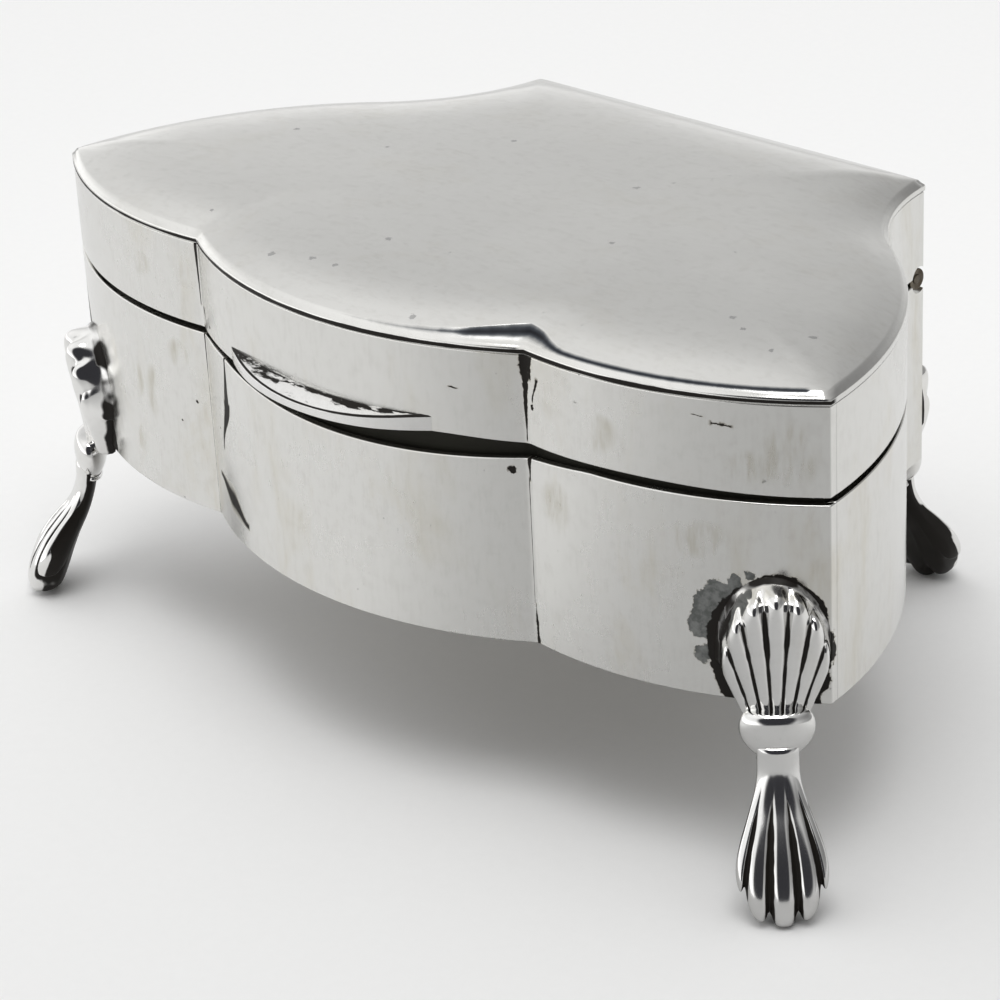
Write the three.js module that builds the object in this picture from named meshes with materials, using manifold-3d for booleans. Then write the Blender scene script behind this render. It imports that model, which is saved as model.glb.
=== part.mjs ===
// Serpentine silver trinket box: sheet walls soldered round a base plate, a crowned lid on a five-knuckle
// hinge with a crescent thumb-piece, velvet linings, and four cast legs with shell knees and fluted feet.
// Millimetres. +X runs to the right, +Y to the back and +Z up; the finished box stands on z = 0.

import * as THREE from 'three';
import { mergeVertices } from 'three/addons/utils/BufferGeometryUtils.js';
import Module from 'manifold-3d';

const wasm = await Module();
wasm.setup();
const { Vector2, Vector3 } = THREE;

// Plan of the walls, on their outside; y = 0 is the line through the two front corners
const FRONT_WIDTH = 90; // across the two front corners
const BACK_WIDTH = 46.2; // across the two back corners
const BACK_DEPTH = 40.5; // front corners to the back wall
const FOLD_SPAN = 39.2; // between the two folds in the front wall
const FOLD_REACH = 7.25; // folds ahead of the front corners
const BOW_REACH = 12.7; // middle of the bowed front ahead of the front corners
const LOBE_RISE = 2.6; // rise of the two outer front curves over their chords
const SIDE_TURN = 0.65; // share of a side's chord where its curve turns from round to hollow
const SIDE_SWING = THREE.MathUtils.degToRad(22.9); // angle between a side's curve and its chord at its ends

// Heights over the lower edge of the base wall
const BASE_HEIGHT = 17.8;
const RIM_GAP = 0.4; // shadow gap between the two rims when the lid is shut
const RELIEF_SPAN = 40; // shallow finger relief in the base rim under the thumb-piece
const RELIEF_DEPTH = 1.3;
const LID_HEIGHT = 8;
const CROWN = 2.4; // rise of the lid's top from its edge to its middle
const CROWN_RUN = 9.5; // distance from the edge over which the top rises
const CROWN_MIDDLE = 0.4; // highest place of the crown, as a share of the way to the back
const LEG_DROP = 16; // lower edge of the base wall to the floor
const PLATE_RECESS = 0.8; // base plate over the lower edge of the wall

// Sheet, seams and running clearances
const SHEET = 0.7;
const SEAM = 0.1; // solder or glue seam between fixed pieces
const TOP_OVERHANG = 0.23; // rolled edge of the lid's top past the lid wall
const TOP_NOSE_LOW = 0.1; // upright nose of that edge, over the lid wall
const TOP_NOSE_HIGH = 0.5;
const TOP_ROLL = 0.2; // place inside the lid wall's face where the roll ends and the crown starts
const TOP_STAND = 0.24; // start of the crown over the sheet's thickness
const LIP_CLEARANCE = 0.25; // lid wall to the lip inside it
const HINGE_CLEARANCE = 0.25; // hollowed wall edges to the knuckles

// Lip inside the base rim
const LIP_SHEET = 0.5;
const LIP_RISE = 1.6; // over the base rim
const LIP_ROOT = 2.2; // below the base rim

// Linings
const LINING = 0.9; // velvet over card on the walls
const LINING_CLEARANCE = 0.3;
const FLOOR_PAD_EDGE = 1.4; // pad height at its edge
const FLOOR_PAD_CROWN = 1.1;
const LID_PAD_EDGE = 1.5;
const LID_PAD_CROWN = 1.2;
const PAD_RUN = 6; // distance from a pad's edge over which it rises

// Hinge
const KNUCKLE_RADIUS = 1;
const PIN_RADIUS = 0.45;
const PIN_CLEARANCE = 0.1;
const KNUCKLES = 5;
const KNUCKLE_GAP = 0.2;
const STOP_ANGLE = THREE.MathUtils.degToRad(102); // where the outer wall edges meet and hold the open lid

// Thumb-piece
const THUMB_WIDTH = 24.2;
const THUMB_REACH = 1.8; // at its middle, past the bow
const THUMB_END_REACH = 0.45; // at its ends
const THUMB_HEIGHT = 1.55;
const THUMB_SLOPE = 0.4; // fall of its top for each millimetre out from the bow
const THUMB_ROUND = 0.15;

// Legs, in a leg's own frame: x across it, -y out from the wall, z over the lower edge of the wall
const LEG_INSET = 4.5; // middle of a leg from its corner of the box
const FRONT_LEG_TURN = THREE.MathUtils.degToRad(43); // way a front leg faces, from straight ahead
const SHELL_WIDTH = 8.6;
const SHELL_TOP = 11.2;
const SHELL_MIDDLE = 4.2; // height where the shell is widest
const SHELL_ROOT_WIDTH = 4; // where the shell goes into the collar
const SHELL_ROOT = 0.8; // depth of that place below the lower edge of the wall
const SHELL_HEAD = 3; // rolled head of the middle rib, out from the wall
const SHELL_SIDE = 0.5; // depth of the outer ribs as a share of the middle one's
const SHELL_SWEEP = THREE.MathUtils.degToRad(98); // from the middle of the fan to its outer edge
const RIBS = 7;
const RIB_GROOVE = 0.2; // share of the depth lost in the grooves between the ribs
const RIB_NOTCH = 0.09; // share of the height lost between the ribs' round tips
const COLLAR_WIDTH = 6.3;
const COLLAR_DEPTH = 3.2;
const COLLAR_SEAT = 1.55; // middle of the collar and top of the neck, out from the wall
const COLLAR_HEIGHT = 4.1;
const NECK_WIDTH = 3.4;
const NECK_DEPTH = 2;
const FOOT_REACH = 8; // middle of the toe out from the wall
const TOES = 5;
const TOE_GROOVE = 0.5; // share of the half depth lost in the grooves between the toes
const TOE_NOTCH = 0.05; // share of the length lost between the toes' round tips
const TOE_SHORTENING = 0.34; // share of the length by which the outer edges of the foot end sooner
const TOE_ROUNDING = 0.75; // share of the half depth lost towards the outer toes
const TOE_WRAP = 0.6; // how far the outer toes turn round to the sides of the foot
const FOOT_FLARE = 1.55; // width that the foot gains on the neck, as a share of the neck's
const FLARE_START = 0.15; // shares of the foot's line between which it widens
const FLARE_END = 0.9;
const SOLE_CUT = 0.45; // height taken off the toes to make the flat sole

// Rows of the shell from the collar over its rolled head into the wall: shares of its height and depth
const SHELL_ROWS = [
  [0, 0.45],
  [0.3, 0.62],
  [0.58, 0.8],
  [0.8, 0.97],
  [0.91, 1],
  [0.98, 0.87],
  [1, 0.55],
  [0.97, -0.1],
];

// Line of the foot from inside the collar to the toes: shares of its drop and of its reach from the neck
const FOOT_LINE = [
  [-0.14, 0.1],
  [0, 0.1],
  [0.14, 0.17],
  [0.29, 0.31],
  [0.44, 0.53],
  [0.6, 0.74],
  [0.8, 0.92],
  [1, 1],
];

// Rows of the foot: share of its line, of the neck's depth, and of the full fluting
const FOOT_ROWS = [
  [0, 1, 0],
  [0.25, 1, 0],
  [0.45, 1.05, 0.35],
  [0.62, 1.2, 0.9],
  [0.77, 1.3, 1],
  [0.89, 1.25, 1],
  [0.96, 1, 1],
  [1, 0.4, 1],
];

// Facets
const BOW_STEPS = 20;
const LOBE_STEPS = 8;
const ROUND_STEPS = 8;
const HOLLOW_STEPS = 5;
const BACK_STEPS = 6;
const PLATE_RINGS = [0.3, 0.55, 0.74, 0.87, 0.95, 1];
const PAD_RINGS = [0.7, 0.9, 1];
const BARREL_SIDES = 24;
const FLUTE_STEPS = 4;
const COLLAR_SIDES = 16;
const THUMB_STEPS = 12;
const LOBE_SIDES = 128;
const RELIEF_SIDES = 240;

// Levels and places that follow from the sizes above
const LID_RIM = BASE_HEIGHT + RIM_GAP;
const LID_SEAT = LID_RIM + LID_HEIGHT;
const LID_EDGE = LID_SEAT + SHEET;
const PLATE_TOP = PLATE_RECESS + SHEET;
const AXIS_Z = BASE_HEIGHT + RIM_GAP / 2;
const HOLLOW_RADIUS = KNUCKLE_RADIUS + HINGE_CLEARANCE;
const AXIS_INSET = HOLLOW_RADIUS * Math.cos(STOP_ANGLE / 2);
const AXIS_Y = BACK_DEPTH - AXIS_INSET;
const SIDE_TURN_TANGENT = Math.tan(SIDE_SWING / 2);
const LEG_ROOM = 3 * SHELL_TOP; // reach of the solids that cut a leg

const SHEET_SILVER = { color: 0xd6d4ce, roughness: 0.2, metalness: 1 };
const CAST_SILVER = { color: 0xbfbdb8, roughness: 0.22, metalness: 1 };
const TUBE_SILVER = { color: 0xbfbdb8, roughness: 0.3, metalness: 1 };
const PIN_METAL = { color: 0xa9a7a1, roughness: 0.35, metalness: 1 };
const VELVET = { color: 0x1f2a4a, roughness: 0.95, metalness: 0 };

// Solids

function outward(geometry) {
  const position = geometry.attributes.position;
  const corner = [new Vector3(), new Vector3(), new Vector3()];
  const index = geometry.index.array;
  let volume = 0;
  for (let i = 0; i < index.length; i += 3) {
    corner.forEach((point, k) => point.fromBufferAttribute(position, index[i + k]));
    volume += corner[0].dot(corner[1].clone().cross(corner[2]));
  }
  if (volume < 0) index.reverse();
  return geometry;
}

function bare(geometry) {
  const copy = geometry.clone();
  copy.deleteAttribute('normal');
  copy.deleteAttribute('uv');
  return outward(mergeVertices(copy, 1e-4));
}

function toSolid(geometry) {
  const merged = bare(geometry);
  return new wasm.Manifold(new wasm.Mesh({
    numProp: 3,
    vertProperties: Float32Array.from(merged.attributes.position.array),
    triVerts: Uint32Array.from(merged.index.array),
  }));
}

function toGeometry(solid) {
  const mesh = solid.getMesh();
  const geometry = new THREE.BufferGeometry();
  geometry.setAttribute('position', new THREE.Float32BufferAttribute(mesh.vertProperties, 3));
  geometry.setIndex(Array.from(mesh.triVerts));
  return geometry;
}

// Skin over rings of equal length, closed at each end by a fan onto the ring's middle
function loft(rings) {
  const positions = [];
  const index = [];
  const count = rings[0].length;
  rings.flat().forEach((point) => positions.push(point.x, point.y, point.z));
  for (let k = 0; k + 1 < rings.length; k += 1) {
    for (let i = 0; i < count; i += 1) {
      const near = k * count + i;
      const next = k * count + ((i + 1) % count);
      index.push(near, next, next + count, near, next + count, near + count);
    }
  }
  const fan = (ring, first, flip) => {
    const middle = ring.reduce((sum, point) => sum.add(point), new Vector3()).divideScalar(count);
    const pole = positions.length / 3;
    positions.push(middle.x, middle.y, middle.z);
    for (let i = 0; i < count; i += 1) {
      const here = first + i;
      const next = first + ((i + 1) % count);
      index.push(...(flip ? [pole, next, here] : [pole, here, next]));
    }
  };
  fan(rings[0], 0, true);
  fan(rings[rings.length - 1], (rings.length - 1) * count, false);
  const geometry = new THREE.BufferGeometry();
  geometry.setAttribute('position', new THREE.Float32BufferAttribute(positions, 3));
  geometry.setIndex(index);
  return outward(geometry);
}

function prism(points, low, high) {
  const shape = new THREE.Shape(points);
  const geometry = new THREE.ExtrudeGeometry(shape, { depth: high - low, bevelEnabled: false });
  return geometry.translate(0, 0, low);
}

function alongX(radius, from, to) {
  const geometry = new THREE.CylinderGeometry(radius, radius, to - from, BARREL_SIDES);
  return geometry.rotateZ(Math.PI / 2).translate((from + to) / 2, AXIS_Y, AXIS_Z);
}

function block(from, to) {
  const size = to.clone().sub(from);
  const middle = from.clone().lerp(to, 0.5);
  return new THREE.BoxGeometry(size.x, size.y, size.z).translate(middle.x, middle.y, middle.z);
}

// Plan outline

// Points after `from`, up to `to`, on the arc that stands `rise` to the right of the way there
function arc(from, to, rise, steps) {
  const span = to.clone().sub(from);
  const along = span.clone().normalize();
  const out = new Vector2(along.y, -along.x).multiplyScalar(Math.sign(rise));
  const high = Math.abs(rise);
  const radius = (span.lengthSq() / 4 + high * high) / (2 * high);
  const sweep = Math.asin(span.length() / 2 / radius);
  const centre = from.clone().lerp(to, 0.5).addScaledVector(out, high - radius);
  return Array.from({ length: steps }, (_, i) => {
    const angle = sweep * ((2 * (i + 1)) / steps - 1);
    const point = centre.clone().addScaledVector(along, radius * Math.sin(angle));
    return point.addScaledVector(out, radius * Math.cos(angle));
  });
}

const mirrored = (points) => points.map((point) => new Vector2(-point.x, point.y)).reverse();

const frontCorner = new Vector2(FRONT_WIDTH / 2, 0);
const fold = new Vector2(FOLD_SPAN / 2, -FOLD_REACH);
const backCorner = new Vector2(BACK_WIDTH / 2, BACK_DEPTH);
const turn = frontCorner.clone().lerp(backCorner, SIDE_TURN);

const lobe = [fold, ...arc(fold, frontCorner, LOBE_RISE, LOBE_STEPS)];
const bow = arc(new Vector2(-fold.x, fold.y), fold, BOW_REACH - FOLD_REACH, BOW_STEPS).slice(0, -1);
const roundRise = (turn.distanceTo(frontCorner) / 2) * SIDE_TURN_TANGENT;
const hollowRise = (turn.distanceTo(backCorner) / 2) * SIDE_TURN_TANGENT;
const side = [
  ...arc(frontCorner, turn, roundRise, ROUND_STEPS),
  ...arc(turn, backCorner, -hollowRise, HOLLOW_STEPS),
];
const back = Array.from({ length: BACK_STEPS - 1 }, (_, i) => {
  return new Vector2(backCorner.x * (1 - (2 * (i + 1)) / BACK_STEPS), BACK_DEPTH);
});
const front = [...mirrored(lobe), ...bow, ...lobe];
const plan = [...front, ...side, ...back, ...mirrored(side)];
const RIGHT = front.length - 1; // index of the right front corner in the plan; the left one is first
const RIGHT_BACK = RIGHT + side.length;
const LEFT_BACK = RIGHT_BACK + back.length + 1;

// The plan moved inwards by a distance, with mitred corners
function inset(distance) {
  return plan.map((point, i) => {
    const before = point.clone().sub(plan[(i + plan.length - 1) % plan.length]).normalize();
    const after = plan[(i + 1) % plan.length].clone().sub(point).normalize();
    const first = new Vector2(-before.y, before.x);
    const second = new Vector2(-after.y, after.x);
    return point.clone().addScaledVector(first.clone().add(second), distance / (1 + first.dot(second)));
  });
}

function edgeDistance(point) {
  return plan.reduce((least, start, i) => {
    const span = plan[(i + 1) % plan.length].clone().sub(start);
    const reach = point.clone().sub(start);
    const share = THREE.MathUtils.clamp(reach.dot(span) / span.lengthSq(), 0, 1);
    return Math.min(least, reach.addScaledVector(span, -share).length());
  }, Infinity);
}

const swell = (distance, run) => 1 - (1 - THREE.MathUtils.clamp(distance / run, 0, 1)) ** 2;

// Sheet walls

const inner = inset(SHEET);

// Where the front wall's inner face comes out on the outside of a side wall
function buttPoint() {
  const ahead = frontCorner.clone().sub(front[RIGHT - 1]).normalize();
  const away = side[0].clone().sub(frontCorner).normalize();
  return frontCorner.clone().addScaledVector(away, SHEET / ahead.cross(away));
}

const butt = buttPoint();
const wallPlans = {
  front_wall: [...mirrored([butt]), ...front, butt, ...inner.slice(0, RIGHT + 1).reverse()],
  right_wall: [butt, ...side, ...inner.slice(RIGHT, RIGHT_BACK + 1).reverse()],
  back_wall: [...plan.slice(RIGHT_BACK, LEFT_BACK + 1), ...inner.slice(RIGHT_BACK, LEFT_BACK + 1).reverse()],
};
wallPlans.left_wall = mirrored(wallPlans.right_wall);

function sheetWall(name, low, high) {
  const wall = toSolid(prism(wallPlans[name], low, high));
  const hollow = toSolid(alongX(HOLLOW_RADIUS, -FRONT_WIDTH / 2, FRONT_WIDTH / 2));
  return toGeometry(wall.subtract(hollow));
}

function baseFrontWall() {
  const half = RELIEF_SPAN / 2;
  const radius = (half * half + RELIEF_DEPTH * RELIEF_DEPTH) / (2 * RELIEF_DEPTH);
  const relief = new THREE.CylinderGeometry(radius, radius, FRONT_WIDTH, RELIEF_SIDES);
  relief.translate(0, 0, BASE_HEIGHT - RELIEF_DEPTH + radius);
  const wall = toSolid(prism(wallPlans.front_wall, 0, BASE_HEIGHT));
  return toGeometry(wall.subtract(toSolid(relief)));
}

function basePlate() {
  return prism(inset(SHEET + SEAM), PLATE_RECESS, PLATE_TOP);
}

// The lip stops short of the hinge barrel at both sides
function rimLip() {
  const outside = inset(SHEET + LIP_CLEARANCE);
  const inside = inset(SHEET + LIP_CLEARANCE + LIP_SHEET);
  const ring = new THREE.Shape(outside);
  ring.holes.push(new THREE.Path(inside));
  const depth = LIP_ROOT + LIP_RISE;
  const whole = new THREE.ExtrudeGeometry(ring, { depth, bevelEnabled: false });
  const low = BASE_HEIGHT - LIP_ROOT;
  const end = AXIS_Y - 2 * KNUCKLE_RADIUS - HINGE_CLEARANCE;
  const behind = block(
    new Vector3(-FRONT_WIDTH, end, low - SHEET),
    new Vector3(FRONT_WIDTH, 2 * BACK_DEPTH, low + depth + SHEET),
  );
  return toGeometry(toSolid(whole.translate(0, 0, low)).subtract(toSolid(behind)));
}

// Crowned plates and pads

function crowned(edge, shares, underside, topside, nose = []) {
  const centre = new Vector2(0, BACK_DEPTH * CROWN_MIDDLE);
  const ring = (share, height) => edge.map((point) => {
    const place = centre.clone().lerp(point, share);
    return new Vector3(place.x, place.y, height(place));
  });
  const under = shares.map((share) => ring(share, underside));
  const over = shares.map((share) => ring(share, topside)).reverse();
  return loft([...under, ...nose, ...over]);
}

function lidTop() {
  const bearing = SHEET + SEAM;
  const level = (points, height) => points.map((point) => new Vector3(point.x, point.y, LID_SEAT + height));
  const hollow = (point) => LID_SEAT + CROWN * swell(edgeDistance(point) - bearing, CROWN_RUN);
  const rise = (point) => LID_EDGE + TOP_STAND + (CROWN - TOP_STAND) * swell(edgeDistance(point), CROWN_RUN);
  const roll = [
    level(plan, 0),
    level(inset(-TOP_OVERHANG), TOP_NOSE_LOW),
    level(inset(-TOP_OVERHANG), TOP_NOSE_HIGH),
  ];
  return crowned(inset(TOP_ROLL), PLATE_RINGS, hollow, rise, roll);
}

function lidPad() {
  const reach = SHEET + LINING_CLEARANCE;
  const depth = (point) => edgeDistance(point) - reach;
  const ceiling = (point) => LID_SEAT - LINING_CLEARANCE + CROWN * swell(depth(point) - SHEET, CROWN_RUN);
  const low = LID_SEAT - LINING_CLEARANCE - LID_PAD_EDGE;
  const cushion = (point) => low - LID_PAD_CROWN * swell(depth(point), PAD_RUN);
  return crowned(inset(reach), PAD_RINGS, cushion, ceiling);
}

function floorPad() {
  const reach = SHEET + LINING + 3 * LINING_CLEARANCE;
  const low = PLATE_TOP + SEAM;
  const depth = (point) => edgeDistance(point) - reach;
  const cushion = (point) => low + FLOOR_PAD_EDGE + FLOOR_PAD_CROWN * swell(depth(point), PAD_RUN);
  return crowned(inset(reach), PAD_RINGS, () => low, cushion);
}

function wallLining() {
  const ring = new THREE.Shape(inset(SHEET + LINING_CLEARANCE));
  ring.holes.push(new THREE.Path(inset(SHEET + LINING_CLEARANCE + LINING)));
  const low = PLATE_TOP + SEAM;
  const high = BASE_HEIGHT - LIP_ROOT - LINING_CLEARANCE;
  return new THREE.ExtrudeGeometry(ring, { depth: high - low, bevelEnabled: false }).translate(0, 0, low);
}

// Hinge

const BARREL_LENGTH = BACK_WIDTH - 2 * SEAM;
const KNUCKLE_LENGTH = (BARREL_LENGTH - (KNUCKLES - 1) * KNUCKLE_GAP) / KNUCKLES;

function knuckle(place) {
  const from = -BARREL_LENGTH / 2 + place * (KNUCKLE_LENGTH + KNUCKLE_GAP);
  const to = from + KNUCKLE_LENGTH;
  const bore = alongX(PIN_RADIUS + PIN_CLEARANCE, from - KNUCKLE_GAP, to + KNUCKLE_GAP);
  return toGeometry(toSolid(alongX(KNUCKLE_RADIUS, from, to)).subtract(toSolid(bore)));
}

// Thumb-piece: a crescent against the bow, with its edges rounded over and a top that slopes out

function thumbPiece() {
  const half = THUMB_WIDTH / 2;
  const chord = FOLD_SPAN / 2;
  const rise = BOW_REACH - FOLD_REACH;
  const radius = (chord * chord + rise * rise) / (2 * rise);
  const bowY = (x) => radius - BOW_REACH - Math.sqrt(radius * radius - x * x);
  const against = bowY(half) - SEAM;
  const left = new Vector2(-half, against);
  const right = new Vector2(half, against);
  const outLeft = new Vector2(-half, against - THUMB_END_REACH);
  const outRight = new Vector2(half, against - THUMB_END_REACH);
  const middle = -BOW_REACH - SEAM;
  const rim = arc(outLeft, outRight, outLeft.y - middle + THUMB_REACH, THUMB_STEPS);
  const seat = arc(right, left, middle - against, THUMB_STEPS);
  const crescent = new THREE.Shape([outLeft, ...rim, right, ...seat]);
  const shelf = new THREE.ExtrudeGeometry(crescent, {
    depth: THUMB_HEIGHT - 2 * THUMB_ROUND,
    bevelThickness: THUMB_ROUND,
    bevelSize: THUMB_ROUND,
    bevelOffset: -THUMB_ROUND,
    bevelSegments: 1,
  });
  const position = shelf.attributes.position;
  for (let i = 0; i < position.count; i += 1) {
    const out = Math.hypot(position.getX(i), position.getY(i) - radius + BOW_REACH) - radius;
    const share = position.getZ(i) > THUMB_HEIGHT / 2 - THUMB_ROUND ? THUMB_SLOPE : 0;
    position.setZ(i, position.getZ(i) - share * Math.max(0, out));
  }
  return shelf.translate(0, 0, LID_RIM + SEAM + THUMB_ROUND);
}

// Legs

// Closed sheet between a front and a back grid of points, given by row and by place across from -1 to 1
function flutedSheet(flutes, rows, frontAt, backAt) {
  const columns = flutes * FLUTE_STEPS + 1;
  const across = Array.from({ length: columns }, (_, i) => (2 * i) / (columns - 1) - 1);
  const rings = rows.map((row, k) => {
    const front = across.map((place) => frontAt(row, place, k));
    const behind = across.map((place) => backAt(row, place, k));
    return [...front, ...behind.reverse()];
  });
  const count = 2 * columns;
  const index = [];
  for (let k = 0; k + 1 < rings.length; k += 1) {
    for (let i = 0; i < count; i += 1) {
      const near = k * count + i;
      const next = k * count + ((i + 1) % count);
      index.push(near, next, next + count, near, next + count, near + count);
    }
  }
  const last = (rings.length - 1) * count;
  for (let i = 0; i + 1 < columns; i += 1) {
    const far = count - 1 - i;
    index.push(i, far, i + 1, i + 1, far, far - 1);
    index.push(last + i, last + i + 1, last + far, last + i + 1, last + far - 1, last + far);
  }
  const positions = rings.flat().flatMap((point) => point.toArray());
  const geometry = new THREE.BufferGeometry();
  geometry.setAttribute('position', new THREE.Float32BufferAttribute(positions, 3));
  geometry.setIndex(index);
  return outward(geometry);
}

// Height of a round flute at a place across the sheet: 1 on its crest and 0 in the grooves beside it
function crest(place, flutes) {
  const way = ((place + 1) / 2) * flutes;
  const off = 2 * Math.abs(way - Math.floor(way) - 0.5);
  return Math.sqrt(Math.max(0, 1 - off * off));
}

// Ribs fan up from the collar and roll over into the wall at their tips
function shell() {
  const root = SHELL_ROOT_WIDTH / 2;
  const fanAt = (height, place) => {
    const angle = place * SHELL_SWEEP;
    const tall = height * (1 - RIB_NOTCH * height * height * (1 - crest(place, RIBS)));
    const rim = new Vector2(Math.sin(angle) * (SHELL_WIDTH / 2), SHELL_MIDDLE);
    rim.y += Math.cos(angle) * (SHELL_TOP - SHELL_MIDDLE);
    return new Vector2(place * root, -SHELL_ROOT).lerp(rim, tall);
  };
  const frontAt = ([height, depth], place) => {
    const spot = fanAt(height, place);
    const head = SHELL_HEAD * THREE.MathUtils.lerp(SHELL_SIDE, 1, Math.cos((place * Math.PI) / 2));
    const groove = 1 - RIB_GROOVE * (1 - crest(place, RIBS));
    return new Vector3(spot.x, -head * depth * groove, spot.y);
  };
  const last = SHELL_ROWS.length - 1;
  const backAt = (row, place, k) => {
    const spot = fanAt((SHELL_ROWS[last][0] * k) / last, place);
    return new Vector3(spot.x, SHELL_HEAD, spot.y);
  };
  return flutedSheet(RIBS, SHELL_ROWS, frontAt, backAt);
}

function collar() {
  const ball = new THREE.SphereGeometry(1, COLLAR_SIDES, COLLAR_SIDES / 2).rotateX(Math.PI / 2);
  ball.scale(COLLAR_WIDTH / 2, COLLAR_DEPTH / 2, COLLAR_HEIGHT / 2);
  return ball.translate(0, -COLLAR_SEAT, -COLLAR_HEIGHT / 2 + SEAM);
}

// Neck and foot: one curved sheet that spreads into round-ended toes
function foot() {
  const drop = LEG_DROP + SOLE_CUT - COLLAR_HEIGHT;
  const line = new THREE.CatmullRomCurve3(FOOT_LINE.map(([down, out]) => {
    const reach = THREE.MathUtils.lerp(COLLAR_SEAT, FOOT_REACH, out);
    return new Vector3(0, -reach, -COLLAR_HEIGHT - down * drop);
  }));
  const surfaceAt = ([share, depth, fluting], place, face) => {
    const hollow = fluting * (1 - crest(place, TOES));
    const short = TOE_SHORTENING * place * place * fluting + TOE_NOTCH * hollow * share;
    const way = share * (1 - short);
    const along = line.getTangent(way);
    const out = new Vector3(0, along.z, -along.y);
    const wrapped = THREE.MathUtils.lerp(place, Math.sin((place * Math.PI) / 2), TOE_WRAP);
    const round = 1 - TOE_ROUNDING * place * place;
    const thick = face > 0 ? round - TOE_GROOVE * hollow * round : -round;
    const point = line.getPoint(way).addScaledVector(out, (thick * depth * NECK_DEPTH) / 2);
    const width = 1 + FOOT_FLARE * THREE.MathUtils.smoothstep(way, FLARE_START, FLARE_END);
    return point.setX((wrapped * width * NECK_WIDTH) / 2);
  };
  const frontAt = (row, place) => surfaceAt(row, place, 1);
  const backAt = (row, place) => surfaceAt(row, place, -1);
  return flutedSheet(TOES, FOOT_ROWS, frontAt, backAt);
}

function leg(wall) {
  const floor = block(
    new Vector3(-LEG_ROOM, -LEG_ROOM, -LEG_ROOM - LEG_DROP),
    new Vector3(LEG_ROOM, LEG_ROOM, -LEG_DROP),
  );
  const casting = toSolid(shell()).add(toSolid(collar())).add(toSolid(foot()));
  return toGeometry(casting.subtract(toSolid(wall)).subtract(toSolid(floor)));
}

// A front leg is fitted to the outer curve of the front, and faces further to its side than the wall does
function frontLeg(hand) {
  const chord = frontCorner.clone().sub(fold);
  const radius = (chord.lengthSq() / 4 + LOBE_RISE * LOBE_RISE) / (2 * LOBE_RISE);
  const sweep = Math.asin(chord.length() / 2 / radius);
  const angle = chord.angle() + sweep - LEG_INSET / radius;
  const out = new Vector2(chord.y, -chord.x).normalize();
  const centre = fold.clone().lerp(frontCorner, 0.5).addScaledVector(out, LOBE_RISE - radius);
  const place = centre.add(new Vector2(Math.sin(angle), -Math.cos(angle)).multiplyScalar(radius));
  const swing = FRONT_LEG_TURN - angle;
  const wall = new THREE.CylinderGeometry(radius + SEAM, radius + SEAM, 2 * LEG_ROOM, LOBE_SIDES);
  wall.rotateX(Math.PI / 2).translate(hand * radius * Math.sin(swing), radius * Math.cos(swing), 0);
  return { x: hand * place.x, y: place.y, turn: hand * FRONT_LEG_TURN, wall };
}

function rearLeg(hand) {
  const wall = block(
    new Vector3(-LEG_ROOM, -SEAM, -LEG_ROOM),
    new Vector3(LEG_ROOM, LEG_ROOM, LEG_ROOM),
  );
  return { x: hand * (BACK_WIDTH / 2 - LEG_INSET), y: BACK_DEPTH, turn: Math.PI, wall };
}

// Assembly

const box = new THREE.Group();

function add(name, geometry, look, parent = box) {
  const mesh = new THREE.Mesh(bare(geometry), new THREE.MeshStandardMaterial(look));
  mesh.name = name;
  parent.add(mesh);
}

for (const name of Object.keys(wallPlans)) {
  const base = name === 'front_wall' ? baseFrontWall() : sheetWall(name, 0, BASE_HEIGHT);
  add(`base_${name}`, base, SHEET_SILVER);
  add(`lid_${name}`, sheetWall(name, LID_RIM, LID_SEAT), SHEET_SILVER);
}
add('base_plate', basePlate(), SHEET_SILVER);
add('rim_lip', rimLip(), SHEET_SILVER);
add('wall_lining', wallLining(), VELVET);
add('floor_pad', floorPad(), VELVET);
add('lid_top', lidTop(), SHEET_SILVER);
add('lid_pad', lidPad(), VELVET);
add('thumb_piece', thumbPiece(), SHEET_SILVER);

for (let i = 0; i < KNUCKLES; i += 1) {
  const owner = i % 2 === 0 ? 'base' : 'lid';
  add(`${owner}_knuckle_${i + 1}`, knuckle(i), TUBE_SILVER);
}
add('hinge_pin', alongX(PIN_RADIUS, -BARREL_LENGTH / 2, BARREL_LENGTH / 2), PIN_METAL);

for (const [end, legAt] of [['front', frontLeg], ['rear', rearLeg]]) {
  for (const [name, hand] of [['left', -1], ['right', 1]]) {
    const place = legAt(hand);
    const stand = new THREE.Group();
    stand.position.set(place.x, place.y, 0);
    stand.rotation.z = place.turn;
    add(`${end}_${name}_leg`, leg(place.wall), CAST_SILVER, stand);
    box.add(stand);
  }
}

// The origin lies under the middle of the box's whole extent, on the floor
const extent = new THREE.Box3().setFromObject(box, true);
const middle = extent.getCenter(new Vector3());
box.position.set(-middle.x, -middle.y, -extent.min.z);

export default box;
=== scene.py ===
"""Looks of a small silver trinket box with a serpentine front, a crowned lid and four shell-kneed legs.

Shapes are drawn in millimetres on the plan of the box, where y = 0 runs through the two front corners and
z = 0 is the lower edge of the base wall, and each finished mesh is then put into the frame's metres.
"""

import math

import bmesh
import bpy
from mathutils import Matrix, Vector, noise


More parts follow.
